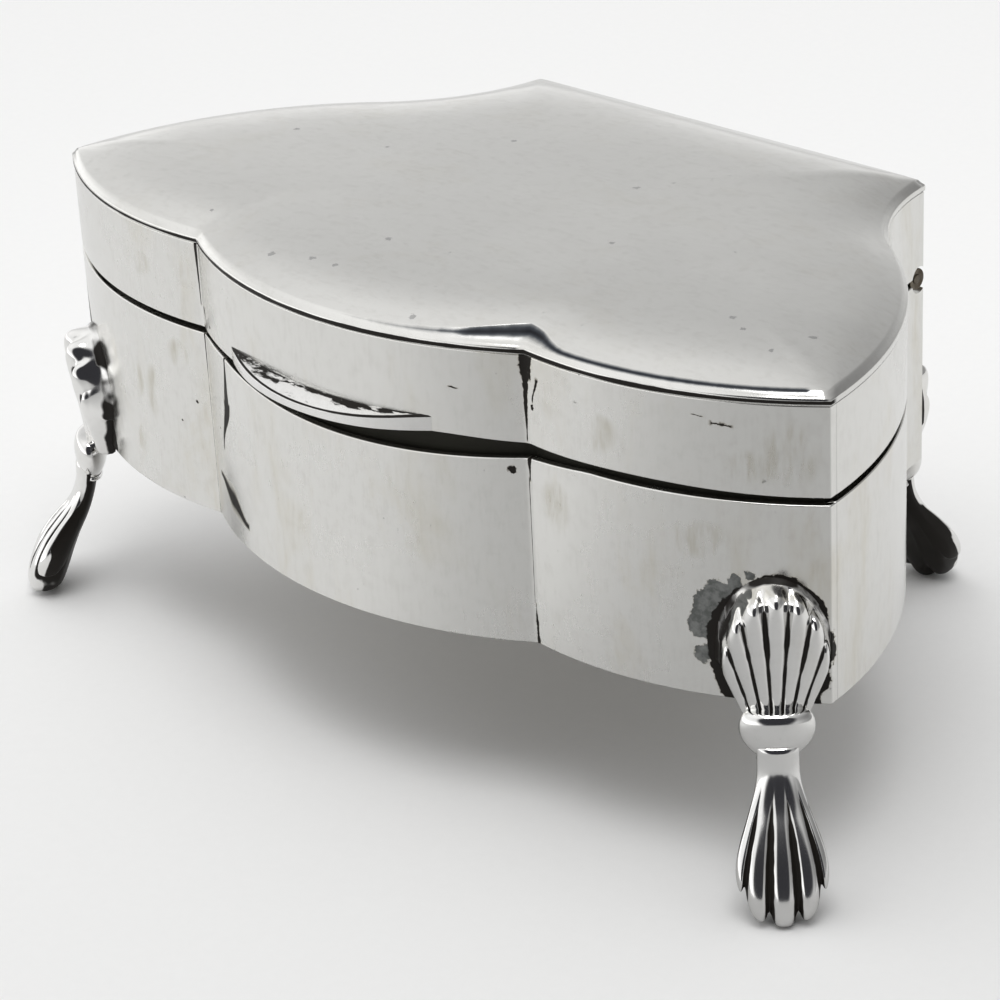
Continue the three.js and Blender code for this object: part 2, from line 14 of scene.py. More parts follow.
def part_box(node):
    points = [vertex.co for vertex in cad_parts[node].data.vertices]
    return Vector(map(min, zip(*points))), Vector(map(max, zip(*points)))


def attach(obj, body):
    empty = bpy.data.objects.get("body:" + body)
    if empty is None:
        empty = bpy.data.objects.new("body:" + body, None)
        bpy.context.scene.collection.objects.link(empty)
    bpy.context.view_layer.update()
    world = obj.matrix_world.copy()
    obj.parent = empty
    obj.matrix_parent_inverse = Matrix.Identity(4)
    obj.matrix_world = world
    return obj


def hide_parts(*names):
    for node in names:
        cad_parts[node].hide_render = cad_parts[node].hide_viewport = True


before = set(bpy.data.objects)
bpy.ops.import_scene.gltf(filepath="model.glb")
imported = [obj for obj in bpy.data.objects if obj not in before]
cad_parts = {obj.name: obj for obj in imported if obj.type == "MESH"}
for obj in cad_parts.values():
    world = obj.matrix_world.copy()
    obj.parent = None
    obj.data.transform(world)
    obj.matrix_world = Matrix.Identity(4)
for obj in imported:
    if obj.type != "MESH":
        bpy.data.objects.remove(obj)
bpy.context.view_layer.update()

MM = 0.001

# Plan of the walls
FRONT_WIDTH = 90.0
BACK_WIDTH = 46.2
BACK_DEPTH = 40.5
FOLD_SPAN = 39.2
FOLD_REACH = 7.25
BOW_REACH = 12.7
LOBE_RISE = 2.6
SIDE_TURN = 0.65
SIDE_SWING = math.radians(22.9)

# Heights
BASE_HEIGHT = 17.8
RIM_GAP = 0.4
LID_HEIGHT = 8.0
CROWN = 2.4
CROWN_RUN = 9.5
LEG_DROP = 16.0
PLATE_RECESS = 0.8
RELIEF_DEPTH = 1.3

# Sheet and clearances
SHEET = 0.7
SEAM = 0.1
LIP_CLEARANCE = 0.25
HINGE_CLEARANCE = 0.25
LIP_SHEET = 0.5
LIP_RISE = 1.6
LIP_ROOT = 2.2
LINING = 0.9
LINING_CLEARANCE = 0.3
RIM_ROUND = 0.12
RIM_EASE = 0.1
FOLD_ROUND = 0.4

# Pads
FLOOR_PAD_EDGE = 1.4
FLOOR_PAD_CROWN = 1.1
LID_PAD_EDGE = 1.5
LID_PAD_CROWN = 1.2
PAD_RUN = 6.0

# Hinge
KNUCKLE_RADIUS = 1.0
PIN_RADIUS = 0.45
STOP_ANGLE = math.radians(102)

# Thumb-piece
THUMB_WIDTH = 24.2
THUMB_REACH = 1.8
THUMB_END_REACH = 0.03
THUMB_HEIGHT = 1.55
THUMB_SLOPE = 0.45

# Levels
LID_RIM = BASE_HEIGHT + RIM_GAP
LID_SEAT = LID_RIM + LID_HEIGHT
LID_EDGE = LID_SEAT + SHEET
PLATE_TOP = PLATE_RECESS + SHEET
AXIS_Z = BASE_HEIGHT + RIM_GAP / 2
HOLLOW_RADIUS = KNUCKLE_RADIUS + HINGE_CLEARANCE
AXIS_Y = BACK_DEPTH - HOLLOW_RADIUS * math.cos(STOP_ANGLE / 2)
LIP_END = AXIS_Y - 2 * KNUCKLE_RADIUS - HINGE_CLEARANCE

# Steps on the curves of the plan
BOW_STEPS = 56
LOBE_STEPS = 32
ROUND_STEPS = 28
HOLLOW_STEPS = 18
BACK_STEPS = 24
WELD = 0.02

back_low, back_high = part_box("base_back_wall")
PLAN_SHIFT = Vector((0, back_high.y / MM - BACK_DEPTH, back_low.z / MM))
INTO_FRAME = Matrix.Scale(MM, 4) @ Matrix.Translation(PLAN_SHIFT)


# Plan

def arc_centre(start, end, rise):
    """Middle and radius of the arc that stands out by rise to the right of the way from start to end."""
    span = end - start
    out = Vector((span.y, -span.x)).normalized() * math.copysign(1, rise)
    high = abs(rise)
    radius = (span.length_squared / 4 + high * high) / (2 * high)
    return (start + end) / 2 + out * (high - radius), radius


FOLD = Vector((FOLD_SPAN / 2, -FOLD_REACH))
FRONT_CORNER = Vector((FRONT_WIDTH / 2, 0))
BACK_CORNER = Vector((BACK_WIDTH / 2, BACK_DEPTH))
TURN = FRONT_CORNER.lerp(BACK_CORNER, SIDE_TURN)
SWING_RISE = math.tan(SIDE_SWING / 2) / 2

BOW_MIDDLE, BOW_RADIUS = arc_centre(Vector((-FOLD.x, FOLD.y)), FOLD, BOW_REACH - FOLD_REACH)
LOBE_MIDDLE, LOBE_RADIUS = arc_centre(FOLD, FRONT_CORNER, LOBE_RISE)
ROUND_MIDDLE, ROUND_RADIUS = arc_centre(FRONT_CORNER, TURN, (TURN - FRONT_CORNER).length * SWING_RISE)
HOLLOW_MIDDLE, HOLLOW_CURVE = arc_centre(TURN, BACK_CORNER, -(BACK_CORNER - TURN).length * SWING_RISE)


def crossing(first, first_radius, second, second_radius, near):
    """Place near a point where two circles cross."""
    way = second - first
    apart = way.length
    along = (first_radius ** 2 - second_radius ** 2 + apart ** 2) / (2 * apart)
    off = math.sqrt(max(0.0, first_radius ** 2 - along ** 2))
    foot = first + way * (along / apart)
    side = Vector((-way.y, way.x)) / apart * off
    return min((foot + side, foot - side), key=lambda place: (place - near).length)


# Where the inner face of the front wall comes out on the outside of a side wall
BUTT = crossing(LOBE_MIDDLE, LOBE_RADIUS - SHEET, ROUND_MIDDLE, ROUND_RADIUS, FRONT_CORNER)


def flip(place):
    return Vector((-place.x, place.y))


def hollow_place(inset, depth):
    """Place on the hollow stretch of the right side, moved in by a distance, at a depth of the plan."""
    hollow = HOLLOW_CURVE + inset
    away = math.sqrt(hollow ** 2 - (depth - HOLLOW_MIDDLE.y) ** 2)
    return Vector((HOLLOW_MIDDLE.x - away, depth))


def plan_places(inset):
    """Fold, front corner, turn and back corner of the right half of the plan, moved in by a distance."""
    bow = BOW_RADIUS - inset
    lobe = LOBE_RADIUS - inset
    turned = ROUND_RADIUS - inset
    fold = crossing(BOW_MIDDLE, bow, LOBE_MIDDLE, lobe, FOLD)
    corner = crossing(LOBE_MIDDLE, lobe, ROUND_MIDDLE, turned, FRONT_CORNER)
    turn = ROUND_MIDDLE + (TURN - ROUND_MIDDLE).normalized() * turned
    return fold, corner, turn, hollow_place(inset, BACK_DEPTH - inset)


def front_run(inset, corner=None):
    fold, own_corner = plan_places(inset)[:2]
    corner = corner or own_corner
    return [
        (flip(corner), flip(fold), flip(LOBE_MIDDLE), LOBE_STEPS),
        (flip(fold), fold, BOW_MIDDLE, BOW_STEPS),
        (fold, corner, LOBE_MIDDLE, LOBE_STEPS),
    ]


def right_run(inset, corner=None, end=None):
    own_corner, turn, own_end = plan_places(inset)[1:]
    return [
        (corner or own_corner, turn, ROUND_MIDDLE, ROUND_STEPS),
        (turn, end or own_end, HOLLOW_MIDDLE, HOLLOW_STEPS),
    ]


def back_run(inset):
    end = plan_places(inset)[3]
    return [(end, flip(end), None, BACK_STEPS)]


def mirrored(run):
    return [(flip(b), flip(a), flip(middle), steps) for a, b, middle, steps in reversed(run)]


def whole_run(inset):
    sides = right_run(inset)
    return front_run(inset) + sides + back_run(inset) + mirrored(sides)


def trace(bm, run, height):
    """Draws a run of the plan as a chain of edges at a height, and gives its edges."""
    before = set(bm.edges)
    start = run[0][0]
    pen = bm.verts.new((start.x, start.y, height))
    for start, end, middle, steps in run:
        if middle is None:
            for i in range(steps):
                moved = bmesh.ops.extrude_vert_indiv(bm, verts=[pen])
                pen = moved["verts"][0]
                pen.co = start.lerp(end, (i + 1) / steps).to_3d() + Vector((0, 0, height))
            continue
        sweep = (start - middle).angle_signed(end - middle)
        centre = Vector((middle.x, middle.y, height))
        turned = bmesh.ops.spin(
            bm, geom=[pen], cent=centre, axis=(0, 0, 1), dvec=(0, 0, 0), angle=-sweep, steps=steps,
            use_merge=False)
        pen = [part for part in turned["geom_last"] if isinstance(part, bmesh.types.BMVert)][0]
    return [edge for edge in bm.edges if edge not in before]


def loop(bm, inset, height):
    """Closed chain round the whole plan."""
    edges = trace(bm, whole_run(inset), height)
    verts = list({vert for edge in edges for vert in edge.verts})
    bmesh.ops.remove_doubles(bm, verts=verts, dist=WELD)
    return list({edge for vert in verts if vert.is_valid for edge in vert.link_edges})


BORDERS = (front_run(0), right_run(0), back_run(0), mirrored(right_run(0)))


def run_distance(run, place):
    """Distance from a place on the plan to a run of its outline."""
    least = math.inf
    for start, end, middle, _ in run:
        if middle is None:
            return abs(start.y - place.y)
        reach = place - middle
        sweep = (start - middle).angle_signed(end - middle)
        if 0 <= (start - middle).angle_signed(reach, 0) / sweep <= 1:
            least = min(least, abs(reach.length - (start - middle).length))
        else:
            least = min(least, (place - start).length, (place - end).length)
    return least


def edge_distance(place):
    return min(run_distance(run, place) for run in BORDERS)


def swell(distance, run):
    return 1 - (1 - min(max(distance / run, 0), 1)) ** 2


def lerp(first, second, share):
    return first + (second - first) * share


# Meshes

CREASE = math.radians(40)
SOFT_CREASE = math.radians(75)
HOLLOW_SIDES = 96


def verts_of(parts):
    return [part for part in parts if isinstance(part, bmesh.types.BMVert)]


def sharp_edges(bm, least):
    return [edge for edge in bm.edges if len(edge.link_faces) == 2 and edge.calc_face_angle(0) > least]


def round_edges(bm, edges, size, segments=3):
    bmesh.ops.bevel(
        bm, geom=edges, offset=size, offset_type="OFFSET", segments=segments, profile=0.5, affect="EDGES",
        material=-1, clamp_overlap=True)


def raise_faces(bm, faces, height):
    """Draws flat faces up into a solid."""
    raised = bmesh.ops.extrude_face_region(bm, geom=faces)
    bmesh.ops.translate(bm, verts=verts_of(raised["geom"]), vec=(0, 0, height))
    bmesh.ops.recalc_face_normals(bm, faces=bm.faces[:])


def finish_piece(name, bm, body, material, smooth=CREASE, weighted=False, levels=0):
    """Turns a bmesh on the plan into a piece in the frame that rides on a body and stands for its node."""
    bmesh.ops.recalc_face_normals(bm, faces=bm.faces[:])
    bm.transform(INTO_FRAME)
    mesh = bpy.data.meshes.new(name)
    bm.to_mesh(mesh)
    bm.free()
    mesh.shade_smooth()
    mesh.set_sharp_from_angle(angle=smooth)
    mesh.materials.append(material)
    piece = bpy.data.objects.new(name + "_look", mesh)
    bpy.context.scene.collection.objects.link(piece)
    if levels:
        finer = piece.modifiers.new("finer", "SUBSURF")
        finer.levels = levels
        finer.render_levels = levels
    if weighted:
        normals = piece.modifiers.new("even_normals", "WEIGHTED_NORMAL")
        normals.keep_sharp = True
    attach(piece, body)
    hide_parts(name)
    return piece


def cut_hinge_hollow(piece):
    """Takes the round hollow for the hinge barrel out of a wall's edge."""
    bm = bmesh.new()
    bmesh.ops.create_cone(
        bm, cap_ends=True, segments=HOLLOW_SIDES, radius1=HOLLOW_RADIUS, radius2=HOLLOW_RADIUS,
        depth=FRONT_WIDTH,
        matrix=Matrix.Translation((0, AXIS_Y, AXIS_Z)) @ Matrix.Rotation(math.pi / 2, 4, "Y"))
    bm.transform(INTO_FRAME)
    mesh = bpy.data.meshes.new("barrel_room")
    bm.to_mesh(mesh)
    bm.free()
    tool = bpy.data.objects.new("barrel_room", mesh)
    bpy.context.scene.collection.objects.link(tool)
    cut = piece.modifiers.new("barrel_room", "BOOLEAN")
    cut.object = tool
    cut.solver = "EXACT"
    piece.modifiers.move(len(piece.modifiers) - 1, 0)
    depsgraph = bpy.context.evaluated_depsgraph_get()
    done = bpy.data.meshes.new_from_object(piece.evaluated_get(depsgraph))
    piece.modifiers.remove(cut)
    piece.data = done
    bpy.data.objects.remove(tool)


# Node trees

class Nodes:
    """Short hand for building a node tree."""

    def __init__(self, tree):
        self.tree = tree

    def add(self, kind, **values):
        node = self.tree.nodes.new(kind)
        for name, value in values.items():
            setattr(node, name, value)
        return node

    def join(self, source, target):
        self.tree.links.new(source, target)

    def feed(self, socket, value):
        if hasattr(value, "is_output"):
            self.join(value, socket)
        else:
            socket.default_value = value

    def math(self, operation, first, second=0.0, third=0.0):
        node = self.add("ShaderNodeMath", operation=operation)
        for socket, value in zip(node.inputs, (first, second, third)):
            self.feed(socket, value)
        return node.outputs[0]

    def vector(self, operation, first, second, output=0):
        node = self.add("ShaderNodeVectorMath", operation=operation)
        self.feed(node.inputs[0], first)
        self.feed(node.inputs[1], second)
        return node.outputs[output]

    def noise(self, place, scale, detail=3.0, roughness=0.55, distortion=0.0):
        node = self.add("ShaderNodeTexNoise")
        self.feed(node.inputs["Vector"], place)
        self.feed(node.inputs["Scale"], scale)
        self.feed(node.inputs["Detail"], detail)
        self.feed(node.inputs["Roughness"], roughness)
        self.feed(node.inputs["Distortion"], distortion)
        return node.outputs["Fac"]

    def stretch(self, value, low, high, to_low=0.0, to_high=1.0):
        node = self.add("ShaderNodeMapRange", interpolation_type="SMOOTHSTEP")
        names = ("Value", "From Min", "From Max", "To Min", "To Max")
        for name, given in zip(names, (value, low, high, to_low, to_high)):
            self.feed(node.inputs[name], given)
        return node.outputs["Result"]

    def mapped(self, place, scale):
        node = self.add("ShaderNodeMapping")
        self.feed(node.inputs["Vector"], place)
        node.inputs["Scale"].default_value = scale
        return node.outputs["Vector"]

    def part(self, place, axis):
        node = self.add("ShaderNodeSeparateXYZ")
        self.feed(node.inputs[0], place)
        return node.outputs[axis]

    def blend(self, share, first, second):
        node = self.add("ShaderNodeMix", data_type="RGBA")
        self.feed(node.inputs["Factor"], share)
        self.feed(node.inputs["A"], first)
        self.feed(node.inputs["B"], second)
        return node.outputs["Result"]

    def most(self, masks):
        total = masks[0]
        for mask in masks[1:]:
            total = self.math("MAXIMUM", total, mask)
        return total

    def use(self, group, **values):
        node = self.add("ShaderNodeGroup", node_tree=group)
        for name, value in values.items():
            self.feed(node.inputs[name], value)
        return node.outputs


def new_group(name, inputs, outputs):
    tree = bpy.data.node_groups.new(name, "ShaderNodeTree")
    for label, kind, value in inputs:
        socket = tree.interface.new_socket(name=label, in_out="INPUT", socket_type=kind)
        if value is not None:
            socket.default_value = value
    for label in outputs:
        tree.interface.new_socket(name=label, in_out="OUTPUT", socket_type="NodeSocketFloat")
    nodes = Nodes(tree)
    return tree, nodes, nodes.add("NodeGroupInput").outputs, nodes.add("NodeGroupOutput").inputs


VECTOR = "NodeSocketVector"
NUMBER = "NodeSocketFloat"
MIDDLE_NOISE = (0.35, 0.65)
CLOUD_SCALE = 60.0
MOTTLE_SCALE = 900.0
FLECK_SCALE = 1500.0
FLECK_GROUPS = 160.0
WAVE_SCALE = 55.0
FILM_STROKE = (150, 150, 60)
CLOUD_HAZE = 0.55
MOTTLE_HAZE = 0.12
STROKE_HAZE = 0.3
LINE_GRAIN = 700.0
LINE_SWING = 4.0
LINE_CORE = 0.7
SPOT_GRAIN = 0.9
SPOT_SWING = 3.0
SPOT_CORE = 0.8
LEAST_WIDTH = 0.05


def polish_wear_group():
    """Scuffs, hazy patches, tarnish film, dark flecks and slight waves of handled silver."""
    tree, n, given, out = new_group(
        "polish_wear", [("Place", VECTOR, None), ("Stroke", VECTOR, None)],
        ("Haze", "Film", "Grain", "Flecks", "Scratches", "Waves"))
    place = given["Place"]
    clouds = n.stretch(n.noise(place, CLOUD_SCALE, 4.0, 0.6), 0.3, 0.7)
    mottle = n.noise(place, MOTTLE_SCALE, 4.0, 0.65)
    strokes = n.noise(given["Stroke"], 1.0, 5.0, 0.7, 0.4)
    haze = n.math("MULTIPLY_ADD", clouds, CLOUD_HAZE, n.math("MULTIPLY", mottle, MOTTLE_HAZE))
    n.join(n.math("MULTIPLY_ADD", strokes, STROKE_HAZE, haze), out["Haze"])
    hung = n.mapped(place, FILM_STROKE)
    patches = n.stretch(n.noise(hung, 1.0, 5.0, 0.6, 0.5), 0.5, 0.72)
    grain = n.stretch(n.noise(given["Stroke"], 0.5, 3.0, 0.6), 0.35, 0.7)
    n.join(n.math("MULTIPLY", patches, n.math("MULTIPLY_ADD", grain, 0.5, 0.5)), out["Film"])
    scuffs = n.math("MULTIPLY_ADD", mottle, 0.5, n.math("MULTIPLY", strokes, 0.5))
    n.join(n.stretch(scuffs, 0.46, 0.66), out["Grain"])
    specks = n.stretch(n.noise(place, FLECK_SCALE, 2.0, 0.5), 0.72, 0.78)
    groups = n.stretch(n.noise(place, FLECK_GROUPS, 2.0), 0.52, 0.64)
    n.join(n.math("MULTIPLY", specks, groups), out["Flecks"])
    n.join(n.math("MULTIPLY_ADD", mottle, 0.5, strokes), out["Scratches"])
    n.join(n.noise(place, WAVE_SCALE, 1.0, 0.4), out["Waves"])
    return tree


# Masks shared by painted shade, painted reflections and real marks
def ragged_line_group():
    """Ragged dark line where a coordinate passes a given value."""
    tree, n, given, out = new_group(
        "ragged_line",
        [("Place", VECTOR, None), ("Value", NUMBER, 0.0), ("Middle", NUMBER, 0.0), ("Width", NUMBER, 0.0005),
         ("Ragged", NUMBER, 0.5), ("Core", NUMBER, LINE_CORE)],
        ("Mask",))
    off = n.math("ABSOLUTE", n.math("SUBTRACT", given["Value"], given["Middle"]))
    rough = n.math("SUBTRACT", n.noise(given["Place"], LINE_GRAIN, 4.0, 0.7), 0.5)
    wide = n.math("MULTIPLY_ADD", n.math("MULTIPLY", rough, LINE_SWING), given["Ragged"], 1.0)
    width = n.math("MULTIPLY", given["Width"], n.math("MAXIMUM", wide, LEAST_WIDTH))
    share = n.math("DIVIDE", off, width)
    n.join(n.stretch(share, 1.0, given["Core"]), out["Mask"])
    return tree


def ragged_spot_group():
    """Ragged patch round a point."""
    tree, n, given, out = new_group(
        "ragged_spot",
        [("Place", VECTOR, None), ("Middle", VECTOR, None), ("Radius", NUMBER, 0.001),
         ("Ragged", NUMBER, 0.5)],
        ("Mask",))
    reach = n.vector("DISTANCE", given["Place"], given["Middle"], "Value")
    grain = n.math("DIVIDE", SPOT_GRAIN, given["Radius"])
    rough = n.math("SUBTRACT", n.noise(given["Place"], grain, 5.0, 0.65), 0.5)
    wide = n.math("MULTIPLY_ADD", n.math("MULTIPLY", rough, SPOT_SWING), given["Ragged"], 1.0)
    radius = n.math("MULTIPLY", given["Radius"], n.math("MAXIMUM", wide, LEAST_WIDTH))
    n.join(n.stretch(n.math("DIVIDE", reach, radius), 1.0, SPOT_CORE), out["Mask"])
    return tree


POLISH_WEAR = polish_wear_group()
RAGGED_LINE = ragged_line_group()
RAGGED_SPOT = ragged_spot_group()


# Silver

BRIGHT_SILVER = (0.80, 0.795, 0.77, 1)
WARM_FILM = (0.62, 0.57, 0.44, 1)
# Near black for tarnish and for painted shade and reflections
BLACK_TARNISH_AND_SHADE = (0.013, 0.011, 0.009, 1)
NEAR_BLACK_BROWN = (0.07, 0.055, 0.04, 1)
SOLDER_GREY = (0.19, 0.195, 0.19, 1)
SOLDER_DARK = (0.1, 0.105, 0.1, 1)
DULL_SILVER = (0.42, 0.40, 0.36, 1)
LIP_SILVER = (0.6, 0.58, 0.53, 1)
STAIN_BROWN = (0.46, 0.42, 0.31, 1)
# Near black of the painted shade and tarnish on the lip
OLIVE_BLACK = (0.02, 0.019, 0.014, 1)
# Colours of the painted reflection in the lid's dent
HOOK_GREY = (0.06, 0.068, 0.08, 1)
HOOK_BLACK = (0.012, 0.013, 0.018, 1)
CAST_SILVER = (0.88, 0.875, 0.86, 1)
WALL_STROKE = (2600, 2600, 420)
LID_STROKE = (700, 2200, 2200)
CAST_STROKE = (1500, 1500, 1500)
GRIME_SHINE = 0.15
MARK_ROUGHNESS = 0.3
MARK_METAL = (0.9, 0.5)
HAZE_RANGE = (0.25, 0.75)
WAVE_STRENGTH = 0.25
WAVE_DEPTH = 0.0001


def silver(name, stroke, low, high, film=0.45, waves=2.0, scratches=0.0, grain=0.13, flecks=0.6,
           base=BRIGHT_SILVER, marks_and_shade=None):
    """Polished silver with scuffs along its strokes, a thin film of tarnish, and any marks of its own:
    tarnish, solder and stains, and painted shade and reflections.
    """
    material = bpy.data.materials.new(name)
    material.use_nodes = True
    n = Nodes(material.node_tree)
    shader = material.node_tree.nodes["Principled BSDF"]
    shader.inputs["Metallic"].default_value = 1.0
    shader.inputs["Specular IOR Level"].default_value = GRIME_SHINE
    place = n.add("ShaderNodeTexCoord").outputs["Object"]
    wear = n.use(POLISH_WEAR, Place=place, Stroke=n.mapped(place, stroke))
    colour = n.blend(n.math("MULTIPLY", wear["Film"], film), base, WARM_FILM)
    colour = n.blend(n.math("MULTIPLY", wear["Grain"], grain), colour, DULL_SILVER)
    colour = n.blend(n.math("MULTIPLY", wear["Flecks"], flecks), colour, BLACK_TARNISH_AND_SHADE)
    rough = n.stretch(wear["Haze"], *HAZE_RANGE, low, high)
    # The piece's own marks darken its colour: tarnish, solder and stains, and painted shade and reflections
    if marks_and_shade:
        mask, tint = marks_and_shade(n, place)
        colour = n.blend(mask, colour, tint)
        rough = n.math("MULTIPLY_ADD", mask, MARK_ROUGHNESS, rough)
        n.join(n.stretch(mask, *MARK_METAL), shader.inputs["Metallic"])
    n.join(colour, shader.inputs["Base Color"])
    n.join(rough, shader.inputs["Roughness"])
    marks = n.math("MULTIPLY", wear["Scratches"], scratches)
    bump = n.add("ShaderNodeBump")
    bump.inputs["Strength"].default_value = WAVE_STRENGTH
    bump.inputs["Distance"].default_value = WAVE_DEPTH
    n.join(n.math("MULTIPLY_ADD", wear["Waves"], waves, marks), bump.inputs["Height"])
    n.join(bump.outputs["Normal"], shader.inputs["Normal"])
    return material


def row(x, y, z):
    """A place on the plan, in the frame's metres."""
    return INTO_FRAME @ Vector((x, y, z))


STREAK_FADE = 0.4 * MM
DASH_FADE = 0.3 * MM
DASH_CORE = 0.3
PATCH_GRAIN = 450.0
PATCH_FADE = 0.12 * MM
HALO_RAGGED = 1.6 * MM
SOLDER_RAGGED = 2.6 * MM
SOLDER_GRAIN = 1300.0
STAIN_STROKE = (700, 700, 140)
STAIN_STRENGTH = 0.5


def streak(n, place, x_low, x_high, low, high, width_low, width_high, ragged):
    """Ragged line up the front between two heights, with a place across and a half width at each end."""
    level = n.part(place, "Z")
    from_z = row(0, 0, low).z
    to_z = row(0, 0, high).z
    middle = n.stretch(level, from_z, to_z, x_low * MM, x_high * MM)
    width = n.stretch(level, from_z, to_z, width_low * MM, width_high * MM)
    line = n.use(
        RAGGED_LINE, Place=place, Value=n.part(place, "X"), Middle=middle, Width=width, Ragged=ragged)
    above = n.stretch(level, from_z - STREAK_FADE, from_z)
    below = n.stretch(level, to_z + STREAK_FADE, to_z)
    return n.math("MULTIPLY", line["Mask"], n.math("MULTIPLY", above, below))


def spot(n, place, middle, radius, ragged):
    return n.use(RAGGED_SPOT, Place=place, Middle=row(*middle), Radius=radius * MM, Ragged=ragged)["Mask"]


def dash(n, place, x_from, x_to, z_from, z_to, width_from, width_to, ragged):
    """Ragged line across the front between two places, with a height and a half width at each end."""
    across = n.part(place, "X")
    start = x_from * MM
    end = x_to * MM
    middle = n.stretch(across, start, end, row(0, 0, z_from).z, row(0, 0, z_to).z)
    width = n.stretch(across, start, end, width_from * MM, width_to * MM)
    line = n.use(
        RAGGED_LINE, Place=place, Value=n.part(place, "Z"), Middle=middle, Width=width, Ragged=ragged,
        Core=DASH_CORE)
    past = n.stretch(across, start - DASH_FADE, start)
    short = n.stretch(across, end + DASH_FADE, end)
    return n.math("MULTIPLY", line["Mask"], n.math("MULTIPLY", past, short))


def patch(n, place, rounds, ragged):
    """Ragged patch over several overlapping rounds, each given by its middle and radius."""
    depths = []
    for middle, radius in rounds:
        reach = n.vector("DISTANCE", place, row(*middle), "Value")
        depths.append(n.math("SUBTRACT", radius * MM, reach))
    rough = n.math("SUBTRACT", n.noise(place, PATCH_GRAIN, 5.0, 0.68), 0.5)
    return n.stretch(n.math("MULTIPLY_ADD", rough, ragged, n.most(depths)), 0.0, PATCH_FADE)


def stain(n, place, x, low, high, width):
    """Soft streaky patch of thin tarnish."""
    middle = row(x, 0, (low + high) / 2)
    across = n.math("DIVIDE", n.math("SUBTRACT", n.part(place, "X"), middle.x), width * MM)
    upward = n.math("DIVIDE", n.math("SUBTRACT", n.part(place, "Z"), middle.z), (high - low) / 2 * MM)
    reach = n.math("MULTIPLY_ADD", across, across, n.math("MULTIPLY", upward, upward))
    streaks = n.stretch(n.noise(n.mapped(place, STAIN_STROKE), 1.0, 4.0, 0.6), 0.4, 0.7)
    return n.math("MULTIPLY", n.stretch(reach, 1.0, 0.1), n.math("MULTIPLY", streaks, STAIN_STRENGTH))


def front_marks_and_shade(streaks=(), spots=(), dashes=(), halos=(), solder=(), stains=()):
    """Dark lines in the folds and dashes, painted reflections for the most part; spots; halos of painted
    shade and tarnish round the leg shells; a grey patch of spilt solder and brown stains.
    """
    def build(n, place):
        marks = [streak(n, place, *mark) for mark in streaks]
        marks += [spot(n, place, *mark) for mark in spots]
        marks += [dash(n, place, *mark) for mark in dashes]
        marks += [patch(n, place, rounds, HALO_RAGGED) for rounds in halos]
        dark = n.most(marks)
        brown = n.most([stain(n, place, *mark) for mark in stains]) if stains else 0.0
        grey = patch(n, place, solder, SOLDER_RAGGED) if solder else 0.0
        mottle = n.stretch(n.noise(place, SOLDER_GRAIN, 3.0, 0.6), *MIDDLE_NOISE)
        spilt = n.blend(mottle, SOLDER_DARK, SOLDER_GREY)
        tint = n.blend(dark, n.blend(grey, STAIN_BROWN, spilt), BLACK_TARNISH_AND_SHADE)
        return n.math("MAXIMUM", dark, n.math("MAXIMUM", brown, grey)), tint
    return build


LOBE_SWEEP = (FOLD - LOBE_MIDDLE).angle_signed(FRONT_CORNER - LOBE_MIDDLE)


def lobe_place(back):
    """Place on the outside of the right front curve at a distance along it from the corner."""
    turned = -LOBE_SWEEP - back / LOBE_RADIUS
    start = FOLD - LOBE_MIDDLE
    return LOBE_MIDDLE + Matrix.Rotation(turned, 2) @ start


def on_lobe(back, height, hand=1):
    place = lobe_place(back)
    return hand * place.x, place.y, height


def on_front(x, height):
    """Place on the outside of the front at a place across and a height."""
    middle, radius = (BOW_MIDDLE, BOW_RADIUS) if abs(x) < FOLD.x else (LOBE_MIDDLE, LOBE_RADIUS)
    return x, middle.y - math.sqrt(radius ** 2 - (abs(x) - middle.x) ** 2), height


LEG_INSET = 4.5

# Streaks and dashes: both places across, both heights, both half widths and how ragged they are
# Painted reflections: dark lines in and beside the folds, on the left of the bow and at the left corner
BASE_STREAKS = [
    (FOLD.x + 0.1, FOLD.x + 0.1, 15.2, 17.2, 0.06, 0.2, 0.8),
    (FOLD.x, FOLD.x, 4.0, 15.2, 0.02, 0.03, 0.8),
    (FOLD.x + 0.2, FOLD.x + 0.1, 0.1, 3.6, 0.22, 0.06, 1.0),
    (-FOLD.x, -FOLD.x, 13.6, 17.6, 0.05, 0.13, 0.5),
    (-FOLD.x, -FOLD.x, 0.1, 13.6, 0.03, 0.03, 0.8),
    (-16.2, -14.5, 8.2, 13.2, 0.14, 0.8, 0.15),
    (-14.5, -14.2, 13.2, 17.6, 0.55, 0.16, 0.15),
    (-43.4, -44.9, 10.4, 15.6, 1.1, 0.25, 0.1),
]
# Spots: a middle, a radius and how ragged they are
BASE_SPOTS = [
    (on_front(-16.9, 9.8), 0.1, 0.9),
    (on_front(-21.4, 10.6), 0.18, 1.3),
    (on_front(-23.6, 8.2), 0.14, 1.3),
    (on_front(FOLD.x - 1.25, 15.9), 0.4, 0.8),
]
# Halos and solder: rounds, each with a middle and a radius
# The halos are painted shade and reflection round the front leg shells, together with tarnish
BASE_HALOS = [
    [
        (on_lobe(LEG_INSET, 7.0), 4.5),
        (on_lobe(LEG_INSET + 0.4, 5.4), 5.15),
        (on_lobe(LEG_INSET + 0.4, 3.4), 4.95),
        (on_lobe(LEG_INSET + 0.2, 1.0), 4.1),
    ],
    [
        (on_lobe(LEG_INSET, 6.4, -1), 4.8),
        (on_lobe(LEG_INSET, 3.4, -1), 4.7),
        (on_lobe(LEG_INSET, 0.6, -1), 5.0),
    ],
]
